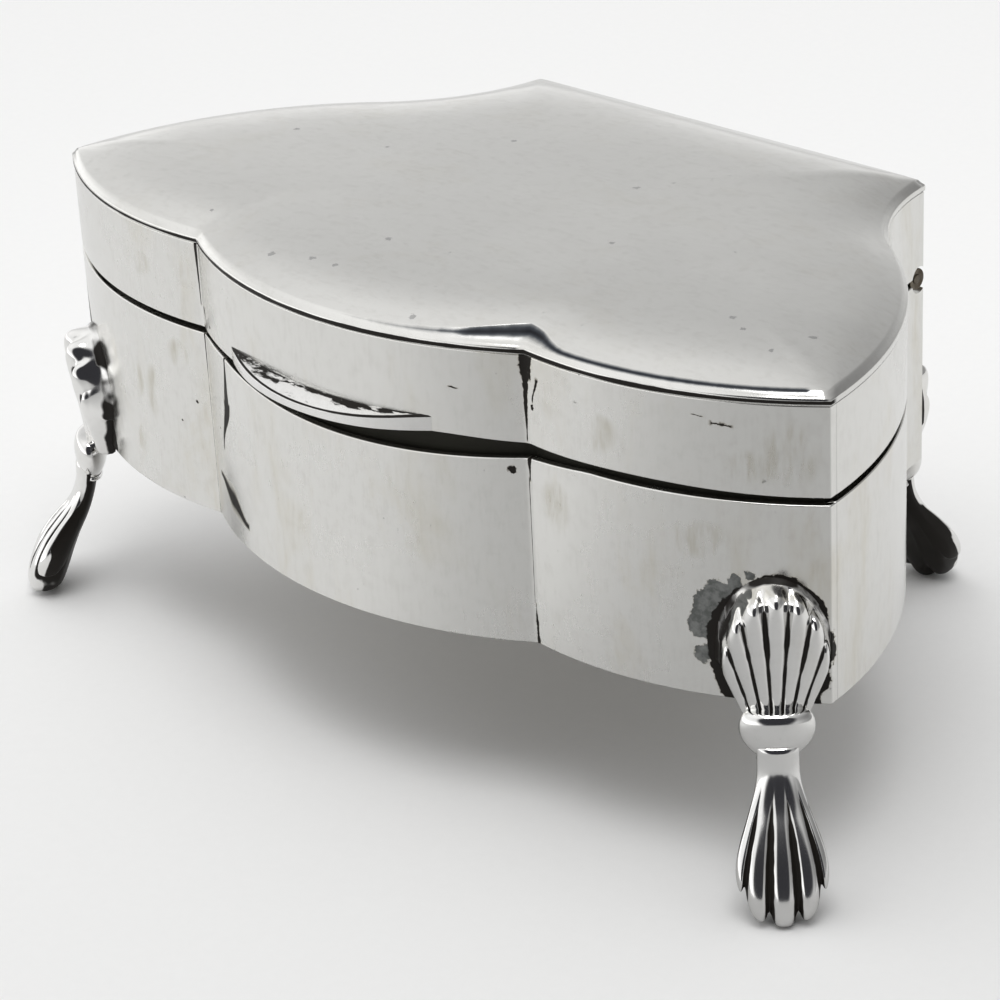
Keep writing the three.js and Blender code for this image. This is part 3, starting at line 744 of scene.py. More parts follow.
# Painted reflection: the almond-shaped dark mark low on the left of the bow
BASE_DASHES = [
    (-17.9, -14.8, 4.9, 3.7, 0.4, 1.75, 0.1),
    (-14.8, -11.8, 3.7, 2.4, 1.75, 0.5, 0.1),
]
BASE_SOLDER = [
    (on_front(36.0, 6.7), 1.5),
    (on_front(36.6, 8.1), 1.6),
    (on_front(37.6, 9.4), 1.4),
    (on_front(38.6, 10.3), 1.1),
    (on_front(39.6, 11.1), 0.7),
    (on_front(36.0, 3.8), 0.75),
]
# Stains: a place across, both heights and a half width
BASE_STAINS = [
    (-30.4, 8.0, 12.5, 1.4),
    (-27.4, 6.5, 13.0, 1.6),
    (-30.6, 2.5, 6.0, 1.0),
    (-23.4, 13.0, 16.5, 1.6),
    (22.5, 11.0, 16.5, 1.8),
    (36.0, 12.0, 16.0, 3.0),
]
# Painted reflections: dark lines in and beside the folds of the lid's front
LID_STREAKS = [
    (FOLD.x + 0.05, FOLD.x + 0.1, 23.0, 26.3, 0.22, 0.5, 1.1),
    (FOLD.x, FOLD.x, 18.8, 23.0, 0.07, 0.2, 0.7),
    (FOLD.x + 0.75, FOLD.x + 1.3, 22.4, 24.3, 0.08, 0.18, 1.3),
    (FOLD.x + 0.5, FOLD.x + 0.55, 24.3, 26.1, 0.14, 0.36, 1.5),
    (-FOLD.x - 0.1, -FOLD.x - 0.2, 20.6, 26.2, 0.08, 0.24, 0.3),
    (-FOLD.x + 0.9, -FOLD.x + 0.6, 19.0, 20.4, 0.06, 0.2, 1.0),
]
LID_SPOTS = [
    (on_front(FOLD.x + 0.7, 21.8), 0.24, 1.2),
    (on_front(-17.5, 19.2), 0.16, 1.2),
]
LID_DASHES = [
    (37.0, 38.4, 24.25, 24.1, 0.3, 0.22, 1.4),
    (13.8, 14.3, 22.85, 22.75, 0.1, 0.07, 1.2),
    (35.6, 36.2, 24.8, 24.7, 0.12, 0.1, 1.2),
]
LID_STAINS = [
    (27.5, 19.5, 23.5, 2.0),
    (40.0, 19.0, 22.5, 2.4),
    (-28.0, 21.0, 24.0, 2.0),
    (42.4, 18.5, 25.5, 2.4),
]
WALL_ROUGHNESS = (0.16, 0.3)
silver_base_front = silver(
    "base_front_silver", WALL_STROKE, *WALL_ROUGHNESS,
    marks_and_shade=front_marks_and_shade(BASE_STREAKS, BASE_SPOTS, BASE_DASHES, BASE_HALOS, BASE_SOLDER, BASE_STAINS))
silver_lid_front = silver(
    "lid_front_silver", WALL_STROKE, *WALL_ROUGHNESS,
    marks_and_shade=front_marks_and_shade(LID_STREAKS, LID_SPOTS, LID_DASHES, stains=LID_STAINS))
silver_side = silver("side_silver", WALL_STROKE, *WALL_ROUGHNESS)


# Specks: a place on the plan and a radius
LID_SPECKS = [
    (-28.2, 13.1, 0.3),
    (-17.8, 14.6, 0.24),
    (-9.6, 22.6, 0.28),
    (-8.7, -8.3, 0.34),
    (-4.6, -7.3, 0.34),
    (-1.9, -7.3, 0.28),
    (9.6, -9.8, 0.32),
    (-20.6, -4.4, 0.22),
    (-1.9, -1.0, 0.3),
    (7.2, 20.4, 0.32),
    (14.0, 9.6, 0.3),
    (32.0, 3.9, 0.32),
    (34.0, 2.8, 0.26),
    (39.0, 5.3, 0.32),
    (38.0, 1.4, 0.24),
]
SPECK_STRENGTH = 0.42
SPECK_RAGGED = 1.2
ON_PLAN = Vector((1, 1, 0))
EDGE_LINE_RISE = 0.28
EDGE_LINE_GRAIN = 120.0
EDGE_LINE_WIDTH = (0.17 * MM, 0.26 * MM)
EDGE_LINE_GROWTH = (-0.03, 0.004, 0.62, 1.0)
EDGE_LINE_END = (0.9, 0.3)
EDGE_LINE_RAGGED = 0.1
HOOK_GRAIN = 900.0
HOOK_RAGGED = 0.25
HOOK_DEEP = (0.65, 1.0)
HOOK_EDGE = (0.2, 0.8)


def lid_speck(n, flat, x, y, radius):
    mark = n.use(
        RAGGED_SPOT, Place=flat, Middle=row(x, y, 0) * ON_PLAN, Radius=radius * MM, Ragged=SPECK_RAGGED)
    return mark["Mask"]


def lid_specks_and_shade(n, place):
    """Painted shade in a dark line under the rolled edge, specks, and a painted reflection in the dent that
    the lid carries as a mask.
    """
    # Painted shade with seam tarnish: a dark line under the rolled edge
    wide = n.stretch(n.noise(place, EDGE_LINE_GRAIN, 2.0), *MIDDLE_NOISE, *EDGE_LINE_WIDTH)
    wide = n.math("MULTIPLY", wide, n.stretch(n.part(place, "X"), *EDGE_LINE_GROWTH))
    line = n.use(
        RAGGED_LINE, Place=place, Value=n.part(place, "Z"), Middle=row(0, 0, LID_SEAT + EDGE_LINE_RISE).z,
        Width=wide, Ragged=EDGE_LINE_RAGGED)
    in_front = n.stretch(n.part(place, "Y"), *(row(0, depth, 0).y for depth in EDGE_LINE_END))
    edge = n.math("MULTIPLY", line["Mask"], in_front)
    # Painted reflection: the dark hook in the dent, read from the lid's groove attribute
    mark = n.add("ShaderNodeAttribute", attribute_name="groove").outputs["Fac"]
    rough = n.math("SUBTRACT", n.noise(place, HOOK_GRAIN, 3.0, 0.6), 0.5)
    uneven = n.math("MULTIPLY_ADD", rough, HOOK_RAGGED, mark)
    hook = n.blend(n.stretch(uneven, *HOOK_DEEP), HOOK_GREY, HOOK_BLACK)
    flat = n.vector("MULTIPLY", place, ON_PLAN)
    specks = n.most([lid_speck(n, flat, *speck) for speck in LID_SPECKS])
    specks = n.math("MULTIPLY", specks, SPECK_STRENGTH)
    dark = n.math("MAXIMUM", edge, n.stretch(uneven, *HOOK_EDGE))
    return n.math("MAXIMUM", dark, specks), n.blend(edge, hook, BLACK_TARNISH_AND_SHADE)


silver_lid = silver(
    "lid_top_silver", LID_STROKE, 0.14, 0.26, film=0.12, grain=0.12, flecks=0.25, marks_and_shade=lid_specks_and_shade)
silver_plate = silver("base_plate_silver", LID_STROKE, 0.25, 0.45, film=0.8, base=DULL_SILVER)

LIP_DARK = 0.5
LIP_FADE = 0.3 * MM
LIP_GRAIN = 300.0
LIP_RAGGED = 0.5 * MM
LIP_OUTSIDE = (0.0, 0.004)


def lip_tarnish_and_shade(n, place):
    """Dark band on the outside of the lip, as far up as the gap below the shut lid leaves it bare: painted
    shade of the gap, with tarnish.
    """
    level = n.math("MULTIPLY_ADD", n.noise(place, LIP_GRAIN, 3.0), -LIP_RAGGED, n.part(place, "Z"))
    dark_end = row(0, 0, LID_RIM + LIP_DARK).z
    bare = n.stretch(level, dark_end + LIP_FADE, dark_end)
    from_middle = n.vector("SUBTRACT", place, row(0, BACK_DEPTH / 2, LID_RIM))
    normal = n.add("ShaderNodeNewGeometry").outputs["Normal"]
    outward = n.vector("DOT_PRODUCT", normal, from_middle, "Value")
    return n.math("MULTIPLY", bare, n.stretch(outward, *LIP_OUTSIDE)), OLIVE_BLACK


silver_lip = silver("lip_silver", WALL_STROKE, 0.25, 0.4, film=0.5, base=LIP_SILVER, marks_and_shade=lip_tarnish_and_shade)
# Hinge tube and pin have a near-black brown base
silver_tube = silver("hinge_tube_silver", CAST_STROKE, 0.25, 0.4, film=0.3, base=NEAR_BLACK_BROWN)
silver_pin = silver("pin_wire_silver", CAST_STROKE, 0.25, 0.4, film=0.3, base=NEAR_BLACK_BROWN)

THUMB_TIP = Vector((THUMB_WIDTH / 2, BOW_MIDDLE.y - math.sqrt(BOW_RADIUS ** 2 - (THUMB_WIDTH / 2) ** 2)))
THUMB_TIP.y -= THUMB_END_REACH
THUMB_RIM, THUMB_RIM_RADIUS = arc_centre(flip(THUMB_TIP), THUMB_TIP, THUMB_TIP.y + BOW_REACH + THUMB_REACH)
PIT_STROKE = (0.35, 1, 1)
PIT_PATCHES = 400.0
PIT_GRAIN = 1500.0
PIT_WIDTH = (0.5 * MM, 1.05 * MM)
PIT_NARROWING = (0.0, 0.011, 1.0, 0.5)
PIT_BREAKS = (0.33, 0.45)
PIT_END = (0.0118, 0.0105)
SHELF_LINE_INSET = 0.13
SHELF_LINE_GROWTH = (0.001, 0.011, 0.12 * MM, 0.22 * MM)
SHELF_LINE_RAGGED = 0.15
UPPER_SIDE = (0.2, 0.5)


def thumb_solder_and_reflection(n, place):
    """Pitted solder where the shelf meets the wall, and a painted reflection as a dark line along the front
    edge of the shelf.
    """
    flat = n.vector("MULTIPLY", place, ON_PLAN)
    across = n.part(place, "X")
    drawn_out = n.mapped(place, PIT_STROKE)
    wide = n.stretch(n.noise(drawn_out, PIT_PATCHES, 3.0), *MIDDLE_NOISE, *PIT_WIDTH)
    wide = n.math("MULTIPLY", wide, n.stretch(across, *PIT_NARROWING))
    reach = n.vector("DISTANCE", flat, row(BOW_MIDDLE.x, BOW_MIDDLE.y, 0) * ON_PLAN, "Value")
    solder = n.use(RAGGED_LINE, Place=drawn_out, Value=reach, Middle=BOW_RADIUS * MM, Width=wide, Ragged=1.0)
    broken = n.stretch(n.noise(drawn_out, PIT_GRAIN, 3.0, 0.6), *PIT_BREAKS)
    pits = n.math("MULTIPLY", n.math("MULTIPLY", solder["Mask"], broken), n.stretch(across, *PIT_END))
    # Painted reflection along the front edge of the shelf
    out = n.vector("DISTANCE", flat, row(THUMB_RIM.x, THUMB_RIM.y, 0) * ON_PLAN, "Value")
    edge = n.use(
        RAGGED_LINE, Place=place, Value=out, Middle=(THUMB_RIM_RADIUS - SHELF_LINE_INSET) * MM,
        Width=n.stretch(across, *SHELF_LINE_GROWTH), Ragged=SHELF_LINE_RAGGED)
    upward = n.part(n.add("ShaderNodeNewGeometry").outputs["Normal"], "Z")
    marks = n.math("MAXIMUM", pits, edge["Mask"])
    return n.math("MULTIPLY", marks, n.stretch(upward, *UPPER_SIDE)), BLACK_TARNISH_AND_SHADE


silver_thumb = silver(
    "thumb_piece_silver", CAST_STROKE, 0.18, 0.32, film=0.05, grain=0.1, base=CAST_SILVER, marks_and_shade=thumb_solder_and_reflection)

GROOVE_GRAIN = 420.0
GROOVE_EDGE = (0.42, 0.64)


def groove_tarnish_and_shade(n, place):
    """Tarnish left in the grooves and painted shade near the wall and on the back of the foot; the casting
    carries its own mask.
    """
    mark = n.add("ShaderNodeAttribute", attribute_name="groove").outputs["Fac"]
    rough = n.math("SUBTRACT", n.noise(place, GROOVE_GRAIN, 2.0, 0.5), 0.5)
    return n.stretch(n.math("ADD", rough, mark), *GROOVE_EDGE), BLACK_TARNISH_AND_SHADE


silver_cast = silver(
    "cast_silver", CAST_STROKE, 0.06, 0.14, film=0.15, waves=1.0, scratches=0.01, grain=0.08,
    base=CAST_SILVER, marks_and_shade=groove_tarnish_and_shade)

VELVET_DARK = (0.008, 0.012, 0.035, 1)
VELVET_LIGHT = (0.045, 0.062, 0.16, 1)
VELVET_SHEEN = (0.35, 0.42, 0.75, 1)
PILE_SCALE = 5200.0
PILE_STRENGTH = 0.5
PILE_DEPTH = 0.0003
BRUSH_SCALE = 130.0


def velvet(name):
    """Short pile, brushed this way and that."""
    material = bpy.data.materials.new(name)
    material.use_nodes = True
    n = Nodes(material.node_tree)
    shader = material.node_tree.nodes["Principled BSDF"]
    shader.inputs["Roughness"].default_value = 0.95
    shader.inputs["Sheen Weight"].default_value = 0.8
    shader.inputs["Sheen Roughness"].default_value = 0.35
    shader.inputs["Sheen Tint"].default_value = VELVET_SHEEN
    place = n.add("ShaderNodeTexCoord").outputs["Object"]
    pile = n.noise(place, PILE_SCALE, 3.0, 0.6)
    brushed = n.stretch(n.noise(place, BRUSH_SCALE, 3.0, 0.6, 0.8), 0.35, 0.68)
    shade = n.math("MULTIPLY_ADD", brushed, 0.5, n.math("MULTIPLY", pile, 0.5))
    n.join(n.blend(shade, VELVET_DARK, VELVET_LIGHT), shader.inputs["Base Color"])
    bump = n.add("ShaderNodeBump")
    bump.inputs["Strength"].default_value = PILE_STRENGTH
    bump.inputs["Distance"].default_value = PILE_DEPTH
    n.join(pile, bump.inputs["Height"])
    n.join(bump.outputs["Normal"], shader.inputs["Normal"])
    return material


velvet_blue = velvet("dark_blue_velvet")


# Sheet walls

FOLD_TURN = math.radians(15)
FOLD_SEGMENTS = 4
EDGE_TURN = math.radians(40)
UPRIGHT = 0.9
RELIEF_MIDDLE = 4.0
RELIEF_LEFT = 18.5
RELIEF_RIGHT = 22.0
# Lifts of the lid's rim: a place across, a half width and a height
LID_LIFTS = ((13.0, 4.5, 0.26), (31.0, 8.0, 0.26))


def wall_solid(outer, inner, low, high):
    """Strip between two runs of the plan, raised to a wall."""
    bm = bmesh.new()
    outside = trace(bm, outer, low)
    inside = trace(bm, inner, low)
    strip = bmesh.ops.bridge_loops(bm, edges=outside + inside)
    raise_faces(bm, strip["faces"], high - low)
    return bm


def is_fold(edge):
    one, other = (vert.co for vert in edge.verts)
    upright = abs(one.z - other.z) > UPRIGHT * (one - other).length
    return upright and abs(one.x) < FOLD.x + SHEET and one.y < 0


def relief(x):
    """Depth of the worn finger relief in the base rim at a place across."""
    way = x - RELIEF_MIDDLE
    return RELIEF_DEPTH * max(0.0, 1 - (way / (RELIEF_LEFT if way < 0 else RELIEF_RIGHT)) ** 2)


def lift(x):
    """Slight rise of the worn lid rim at a place across."""
    return sum(high * math.exp(-((x - middle) / wide) ** 2) for middle, wide, high in LID_LIFTS)


def front_wall(name, low, high, body, material, rim, drop):
    bm = wall_solid(front_run(0), front_run(SHEET, BUTT), low, high)
    for vert in bm.verts:
        if abs(vert.co.z - rim) < WELD:
            vert.co.z -= drop(vert.co.x)
    folds = [edge for edge in sharp_edges(bm, FOLD_TURN) if is_fold(edge)]
    round_edges(bm, folds, FOLD_ROUND, FOLD_SEGMENTS)
    round_edges(bm, sharp_edges(bm, EDGE_TURN), RIM_ROUND)
    finish_piece(name, bm, body, material, weighted=True)


def side_wall(name, outer, inner, low, high, body):
    bm = wall_solid(outer, inner, low, high)
    round_edges(bm, sharp_edges(bm, EDGE_TURN), RIM_ROUND)
    cut_hinge_hollow(finish_piece(name, bm, body, silver_side, weighted=True))


right_faces = (right_run(0, BUTT), right_run(SHEET))
left_faces = tuple(mirrored(run) for run in right_faces)
back_faces = (back_run(SEAM / 2), back_run(SHEET))
for body, low, high, finish in (
        ("base", 0, BASE_HEIGHT - RIM_EASE, silver_base_front),
        ("lid", LID_RIM + RIM_EASE, LID_SEAT, silver_lid_front)):
    rim, drop = (high, relief) if body == "base" else (low, lambda x: -lift(x))
    front_wall(f"{body}_front_wall", low, high, body, finish, rim, drop)
    side_wall(f"{body}_right_wall", *right_faces, low, high, body)
    side_wall(f"{body}_left_wall", *left_faces, low, high, body)
    side_wall(f"{body}_back_wall", *back_faces, low, high, body)


# Base plate, lip and wall lining

def base_plate():
    bm = bmesh.new()
    edges = loop(bm, SHEET + SEAM, PLATE_RECESS)
    plate = bmesh.ops.contextual_create(bm, geom=edges)
    raise_faces(bm, plate["faces"], SHEET)
    finish_piece("base_plate", bm, "base", silver_plate)


def rim_lip():
    def run(inset):
        side = right_run(inset, end=hollow_place(inset, LIP_END))
        return mirrored(side) + front_run(inset) + side
    outside = SHEET + LIP_CLEARANCE
    low = BASE_HEIGHT - LIP_ROOT
    bm = wall_solid(run(outside), run(outside + LIP_SHEET), low, BASE_HEIGHT + LIP_RISE)
    round_edges(bm, sharp_edges(bm, EDGE_TURN), RIM_ROUND)
    finish_piece("rim_lip", bm, "base", silver_lip, weighted=True)


def wall_lining():
    bm = bmesh.new()
    low = PLATE_TOP + SEAM
    outside = loop(bm, SHEET + LINING_CLEARANCE, low)
    inside = loop(bm, SHEET + LINING_CLEARANCE + LINING, low)
    strip = bmesh.ops.bridge_loops(bm, edges=outside + inside)
    raise_faces(bm, strip["faces"], BASE_HEIGHT - LIP_ROOT - LINING_CLEARANCE - low)
    round_edges(bm, sharp_edges(bm, EDGE_TURN), LINING / 3)
    finish_piece("wall_lining", bm, "base", velvet_blue)


base_plate()
rim_lip()
wall_lining()


# Lid top: a rolled edge over the wall, then a crown that rises towards the middle

CROWN_MIDDLE = 0.4
CROWN_CENTRE = Vector((0, BACK_DEPTH * CROWN_MIDDLE, 0))
# Lap of the rolled edge: places in from the wall's face and heights over the wall
ROLL_LAP = ((0.55, 0.0), (0.04, 0.0), (-0.04, 0.05), (-0.06, 0.15), (-0.06, 0.4))
ROLL_ROUND = 0.32
ROLL_OUT = 0.06
ROLL_LEVEL = 0.4
ROLL_SLOPES = (90, 80, 70, 60, 50)
FACET_SLOPE = 42
FACET_RUN = 0.2
DENT_RING = 0.42
STEP_RING = 0.62
LINE_RUN = 24.0
LINE_END = 0.5
LINE_STRENGTH = 0.95
HOOK_STRENGTH = 2.2
CROWN_RINGS = (0.9, 1.3, 1.8, 2.4, 3.2, 4.1, 5.2, 6.4, 7.6, 8.9)
MIDDLE_SHARES = (0.88, 0.86, 0.84, 0.8, 0.75, 0.66, 0.5)
EDGE_STAND = 0.24
LATE_RISE = 0.16
SOFT_RIDGE = 0.5
SOFT_RUN = 2.5
CROWN_SMOOTHING = ((2.0, 6), (4.0, 10), (6.0, 16))
DENT_WIDTH = 1.6
DENT_RISE = 0.06
DENT_LEFT = 6.0
DENT_RIGHT = 1.7
DENT_SHIFT = 0.8
STEP_MARK = 0.6
DENT_FADE = 5.0


def rise_over(place, run):
    """Share of the crown at a place, with soft ridges where the slopes from two borders meet."""
    lacks = sorted((1 - min(run_distance(border, place) / run, 1)) ** 2 for border in BORDERS)
    least, most = lacks[-2:]
    near = run * (1 - math.sqrt(most))
    soft = SOFT_RIDGE * min(1, near / SOFT_RUN) + 1e-6
    meet = max(soft - (most - least), 0) / soft
    return 1 - most - meet * meet * soft / 4


def crown_at(place):
    share = lerp(rise_over(place, CROWN_RUN), rise_over(place, 2 * CROWN_RUN), LATE_RISE)
    return LID_EDGE + EDGE_STAND + (CROWN - EDGE_STAND) * share


def fill_middle(bm, ring, centre, shares, height):
    """Draws a ring in towards a centre in steps and closes it."""
    edges = ring
    for share in shares:
        grown = bmesh.ops.extrude_edge_only(bm, edges=edges)["geom"]
        verts = set(verts_of(grown))
        edges = [
            part for part in grown
            if isinstance(part, bmesh.types.BMEdge) and verts.issuperset(part.verts)
        ]
        bmesh.ops.scale(bm, verts=list(verts), vec=(share, share, 1), space=Matrix.Translation(-centre))
        for vert in verts:
            vert.co.z = height(vert.co.xy)
    bmesh.ops.contextual_create(bm, geom=edges)


def ring_verts(ring):
    return {vert for edge in ring for vert in edge.verts}


def dent(place):
    """Share of the dent beside the right fold at a place."""
    way = place.x - FOLD.x - DENT_SHIFT
    if place.y > FRONT_CORNER.y:
        return 0.0
    return math.exp(-(way / (DENT_LEFT if way < 0 else DENT_RIGHT)) ** 2)


def line_share(place):
    """Strength of the painted reflection, a dark line along the right part of the front."""
    if place.y > FRONT_CORNER.y - LINE_END:
        return 0.0
    return LINE_STRENGTH * min(max((place.x - FOLD.x) / LINE_RUN + 1, 0), 1)


def hook_share(place):
    """Strength of the painted reflection in the dent and along the line beside it."""
    return max(min(HOOK_STRENGTH * dent(place), 1), line_share(place))


def draw_in(ring, inset):
    """Moves a ring in at the dent, less so the further in it lies."""
    fade = max(0.0, 1 - max(inset - STEP_RING, 0) / DENT_FADE)
    for vert in ring_verts(ring):
        inward = Vector((BOW_MIDDLE.x - vert.co.x, BOW_MIDDLE.y - vert.co.y, 0)).normalized()
        vert.co += inward * (DENT_WIDTH * dent(vert.co) * fade)


def lid_top():
    bm = bmesh.new()
    # Mask of the painted reflection in the dent beside the right fold, kept in the groove attribute
    mark = bm.verts.layers.float.new("groove")
    rings = [loop(bm, inset, LID_SEAT + rise) for inset, rise in ROLL_LAP]
    for slope in ROLL_SLOPES:
        turn = math.radians(slope)
        inset = ROLL_ROUND * (1 - math.sin(turn)) - ROLL_OUT
        rise = ROLL_LEVEL + ROLL_ROUND * math.cos(turn)
        rings.append(loop(bm, inset, LID_SEAT + rise))
    rise += FACET_RUN * math.tan(math.radians(FACET_SLOPE))
    rings.append(loop(bm, inset + FACET_RUN, LID_SEAT + rise))
    dented = loop(bm, DENT_RING, 0)
    for vert in ring_verts(dented):
        vert.co.z = crown_at(vert.co.xy) + DENT_RISE * dent(vert.co)
        vert[mark] = hook_share(vert.co)
    draw_in(dented, DENT_RING)
    rings.append(dented)
    for inset in (STEP_RING,) + CROWN_RINGS:
        ring = loop(bm, inset, 0)
        for vert in ring_verts(ring):
            vert[mark] = STEP_MARK * hook_share(vert.co) if inset == STEP_RING else 0.0
        draw_in(ring, inset)
        for vert in ring_verts(ring):
            vert.co.z = crown_at(vert.co.xy)
        rings.append(ring)
    for first, second in zip(rings, rings[1:]):
        bmesh.ops.bridge_loops(bm, edges=first + second)
    fill_middle(bm, rings[-1], CROWN_CENTRE, MIDDLE_SHARES, crown_at)
    for least, times in CROWN_SMOOTHING:
        soft = [vert for vert in bm.verts if edge_distance(vert.co.xy) > least + DENT_WIDTH * dent(vert.co)]
        for _ in range(times):
            bmesh.ops.smooth_vert(
                bm, verts=soft, factor=0.5, use_axis_x=False, use_axis_y=False, use_axis_z=True)
    finish_piece("lid_top", bm, "lid", silver_lid, smooth=SOFT_CREASE)


lid_top()


# Velvet pads

PAD_EDGE_RINGS = ((0.5, 0.0), (0.1, 0.12), (0.0, 0.5), (0.06, 0.85), (0.3, 1.05))
PAD_RINGS = (0.8, 1.5, 2.4, 3.6, 5.0, 6.5)
PAD_UNEVEN = 0.18
PAD_WAVES = 0.18


def pad(name, body, reach, level, side, edge, crown):
    """Stuffed pad on the plan that swells up or down from a level."""
    def height(place):
        return level + side * (edge + crown * swell(edge_distance(place) - reach, PAD_RUN))
    bm = bmesh.new()
    rings = [loop(bm, reach + inset, level + side * edge * rise) for inset, rise in PAD_EDGE_RINGS]
    for inset in PAD_RINGS:
        rise = edge + crown * swell(inset, PAD_RUN)
        rings.append(loop(bm, reach + inset, level + side * rise))
    for first, second in zip(rings, rings[1:]):
        bmesh.ops.bridge_loops(bm, edges=first + second)
    fill_middle(bm, rings[-1], CROWN_CENTRE, MIDDLE_SHARES, height)
    bmesh.ops.contextual_create(bm, geom=rings[0])
    for vert in bm.verts:
        depth = (vert.co.z - level) * side / (edge + crown)
        vert.co.z -= side * depth * PAD_UNEVEN * (0.5 + noise.noise(vert.co * PAD_WAVES))
    finish_piece(name, bm, body, velvet_blue, smooth=SOFT_CREASE)


pad("floor_pad", "base", SHEET + LINING + 3 * LINING_CLEARANCE, PLATE_TOP + SEAM, 1, FLOOR_PAD_EDGE,
    FLOOR_PAD_CROWN)
pad("lid_pad", "lid", SHEET + LINING_CLEARANCE, LID_SEAT - LINING_CLEARANCE, -1, LID_PAD_EDGE, LID_PAD_CROWN)


# Thumb-piece: a crescent shelf that slopes to a rounded front

THUMB_ROUND = 0.22
THUMB_UNDER = 0.4
THUMB_STEPS = 40
THUMB_SEGMENTS = 4
THUMB_SEAT = SHEET / 4
THUMB_END_POWER = 8


def thumb_piece():
    half = THUMB_WIDTH / 2
    against = BOW_MIDDLE.y - math.sqrt(BOW_RADIUS ** 2 - half ** 2)
    seat = Vector((half, against + THUMB_SEAT))
    low = LID_RIM + SEAM
    bm = bmesh.new()
    front = trace(bm, [(flip(THUMB_TIP), THUMB_TIP, THUMB_RIM, THUMB_STEPS)], low)
    back = trace(bm, [(flip(seat), seat, Vector((0, BOW_MIDDLE.y + THUMB_SEAT)), THUMB_STEPS)], low)
    strip = bmesh.ops.bridge_loops(bm, edges=front + back)
    raise_faces(bm, strip["faces"], THUMB_HEIGHT)
    for vert in bm.verts:
        out = (vert.co.xy - BOW_MIDDLE).length - BOW_RADIUS
        if vert.co.z > low and out > 0:
            end_drop = (vert.co.x / half) ** THUMB_END_POWER / 2
            vert.co.z -= THUMB_SLOPE * (min(out, THUMB_REACH) + end_drop)

    def outline(is_low):
        return [edge for edge in sharp_edges(bm, EDGE_TURN) if all(
            (abs(vert.co.z - low) < WELD) == is_low and (vert.co.xy - BOW_MIDDLE).length > BOW_RADIUS - WELD
            for vert in edge.verts)]

    round_edges(bm, outline(True), THUMB_UNDER, THUMB_SEGMENTS)
    round_edges(bm, outline(False), THUMB_ROUND, THUMB_SEGMENTS)
    for vert in bm.verts:
        vert.co.z += lift(vert.co.x)
    finish_piece("thumb_piece", bm, "lid", silver_thumb)


thumb_piece()


# Hinge

ROD_SIDES = 48


def rod(name, radius, rounding, body, material, bore=0.0):
    """Round bar on the hinge line, as long as its node, with rounded ends and a sunk middle for a tube."""
    low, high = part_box(name)
    long = (high.x - low.x) / MM
    bm = bmesh.new()
    bmesh.ops.create_cone(bm, cap_ends=True, segments=ROD_SIDES, radius1=radius, radius2=radius, depth=long)
    caps = [face for face in bm.faces if len(face.verts) > 4]
    if bore:
        bmesh.ops.inset_region(bm, faces=caps, thickness=radius - bore)
        for cap in caps:
            bmesh.ops.translate(bm, verts=cap.verts[:], vec=cap.normal * -rounding)
    round_edges(bm, sharp_edges(bm, EDGE_TURN), rounding)
    middle = (low.x + high.x) / 2 / MM
    bm.transform(Matrix.Translation((middle, AXIS_Y, AXIS_Z)) @ Matrix.Rotation(math.pi / 2, 4, "Y"))
    finish_piece(name, bm, body, material)


for number, body in enumerate(("base", "lid", "base", "lid", "base"), 1):
    rod(f"{body}_knuckle_{number}", KNUCKLE_RADIUS, SEAM, body, silver_tube, PIN_RADIUS + SEAM)
rod("hinge_pin", PIN_RADIUS, SEAM, "base", silver_pin)


# Legs: shell knee, bead collar and fluted foot, with a mark for the tarnish in the grooves and for painted
# shade near the wall and on the back of the foot

SHELL_WIDTH = 8.6
SHELL_TOP = 10.9
SHELL_MIDDLE = 4.2
SHELL_ROOT_WIDTH = 5.0
SHELL_ROOT = 1.2
SHELL_HEAD = 3.0
SHELL_SIDE = 0.4
SHELL_SWEEP = math.radians(98)
RIBS = 7
RIB_GROOVE = 0.17
RIB_NOTCH = 0.05
# Rows of the shell from its root to the wall: shares of height and depth, and a flare
SHELL_ROWS = (
    (0.0, 0.6, 0.0), (0.3, 0.7, 0.0), (0.58, 0.84, 0.0), (0.8, 0.98, 0.0), (0.91, 1.0, 0.0),
    (0.98, 0.87, 0.0), (1.0, 0.6, 0.0), (1.0, 0.38, 0.04), (1.0, 0.17, 0.14), (1.0, 0.0, 0.45),
    (1.0, -0.16, 0.45),
)
SHELL_COLUMNS = 8 * RIBS
SHELL_LINES = 20
HEAD_START = 0.36
HEAD_END = 0.52
FILLET_START = 0.7
FILLET_END = 0.82
BULB_START = 0.2
BULB_END = 0.4
# Marks: tarnish in the grooves, painted shade on the shell's back and where it meets the wall
SIDE_MARK = 0.5
FILLET_MARK = 0.58
RIB_MARK = 0.6
GROOVE_RUN = 0.3
LOW_END = 8.0
INNER_GROOVES = 0.85
SHELL_EDGE = 4.35

COLLAR_WIDTH = 6.3
COLLAR_DEPTH = 3.2
COLLAR_SEAT = 1.55
# Outline of the collar: shares of its half width, and levels
COLLAR_PROFILE = (
    (0.0, 0.35), (0.7, 0.3), (0.84, 0.05), (0.97, -0.6), (1.0, -1.4), (0.93, -2.3), (0.76, -3.1),
    (0.58, -3.65), (0.5, -3.85), (0.53, -4.0), (0.56, -4.15), (0.53, -4.35), (0.0, -4.4),
)
COLLAR_GROOVE = 8
COLLAR_SIDES = 32

NECK_WIDTH = 3.4
FOOT_FLARE = 1.55
FLARE_START = 0.2
FLARE_END = 0.9
NECK_DEPTH = 2.0
COLLAR_HEIGHT = 4.1
FOOT_REACH = 8.0
TOES = 5
TOE_GROOVE = 0.45
TOE_NOTCH = 0.09
FOOT_BACK = 0.9
TOE_SHORTENING = 0.34
TOE_ROUNDING = 0.72
TOE_WRAP = 0.6
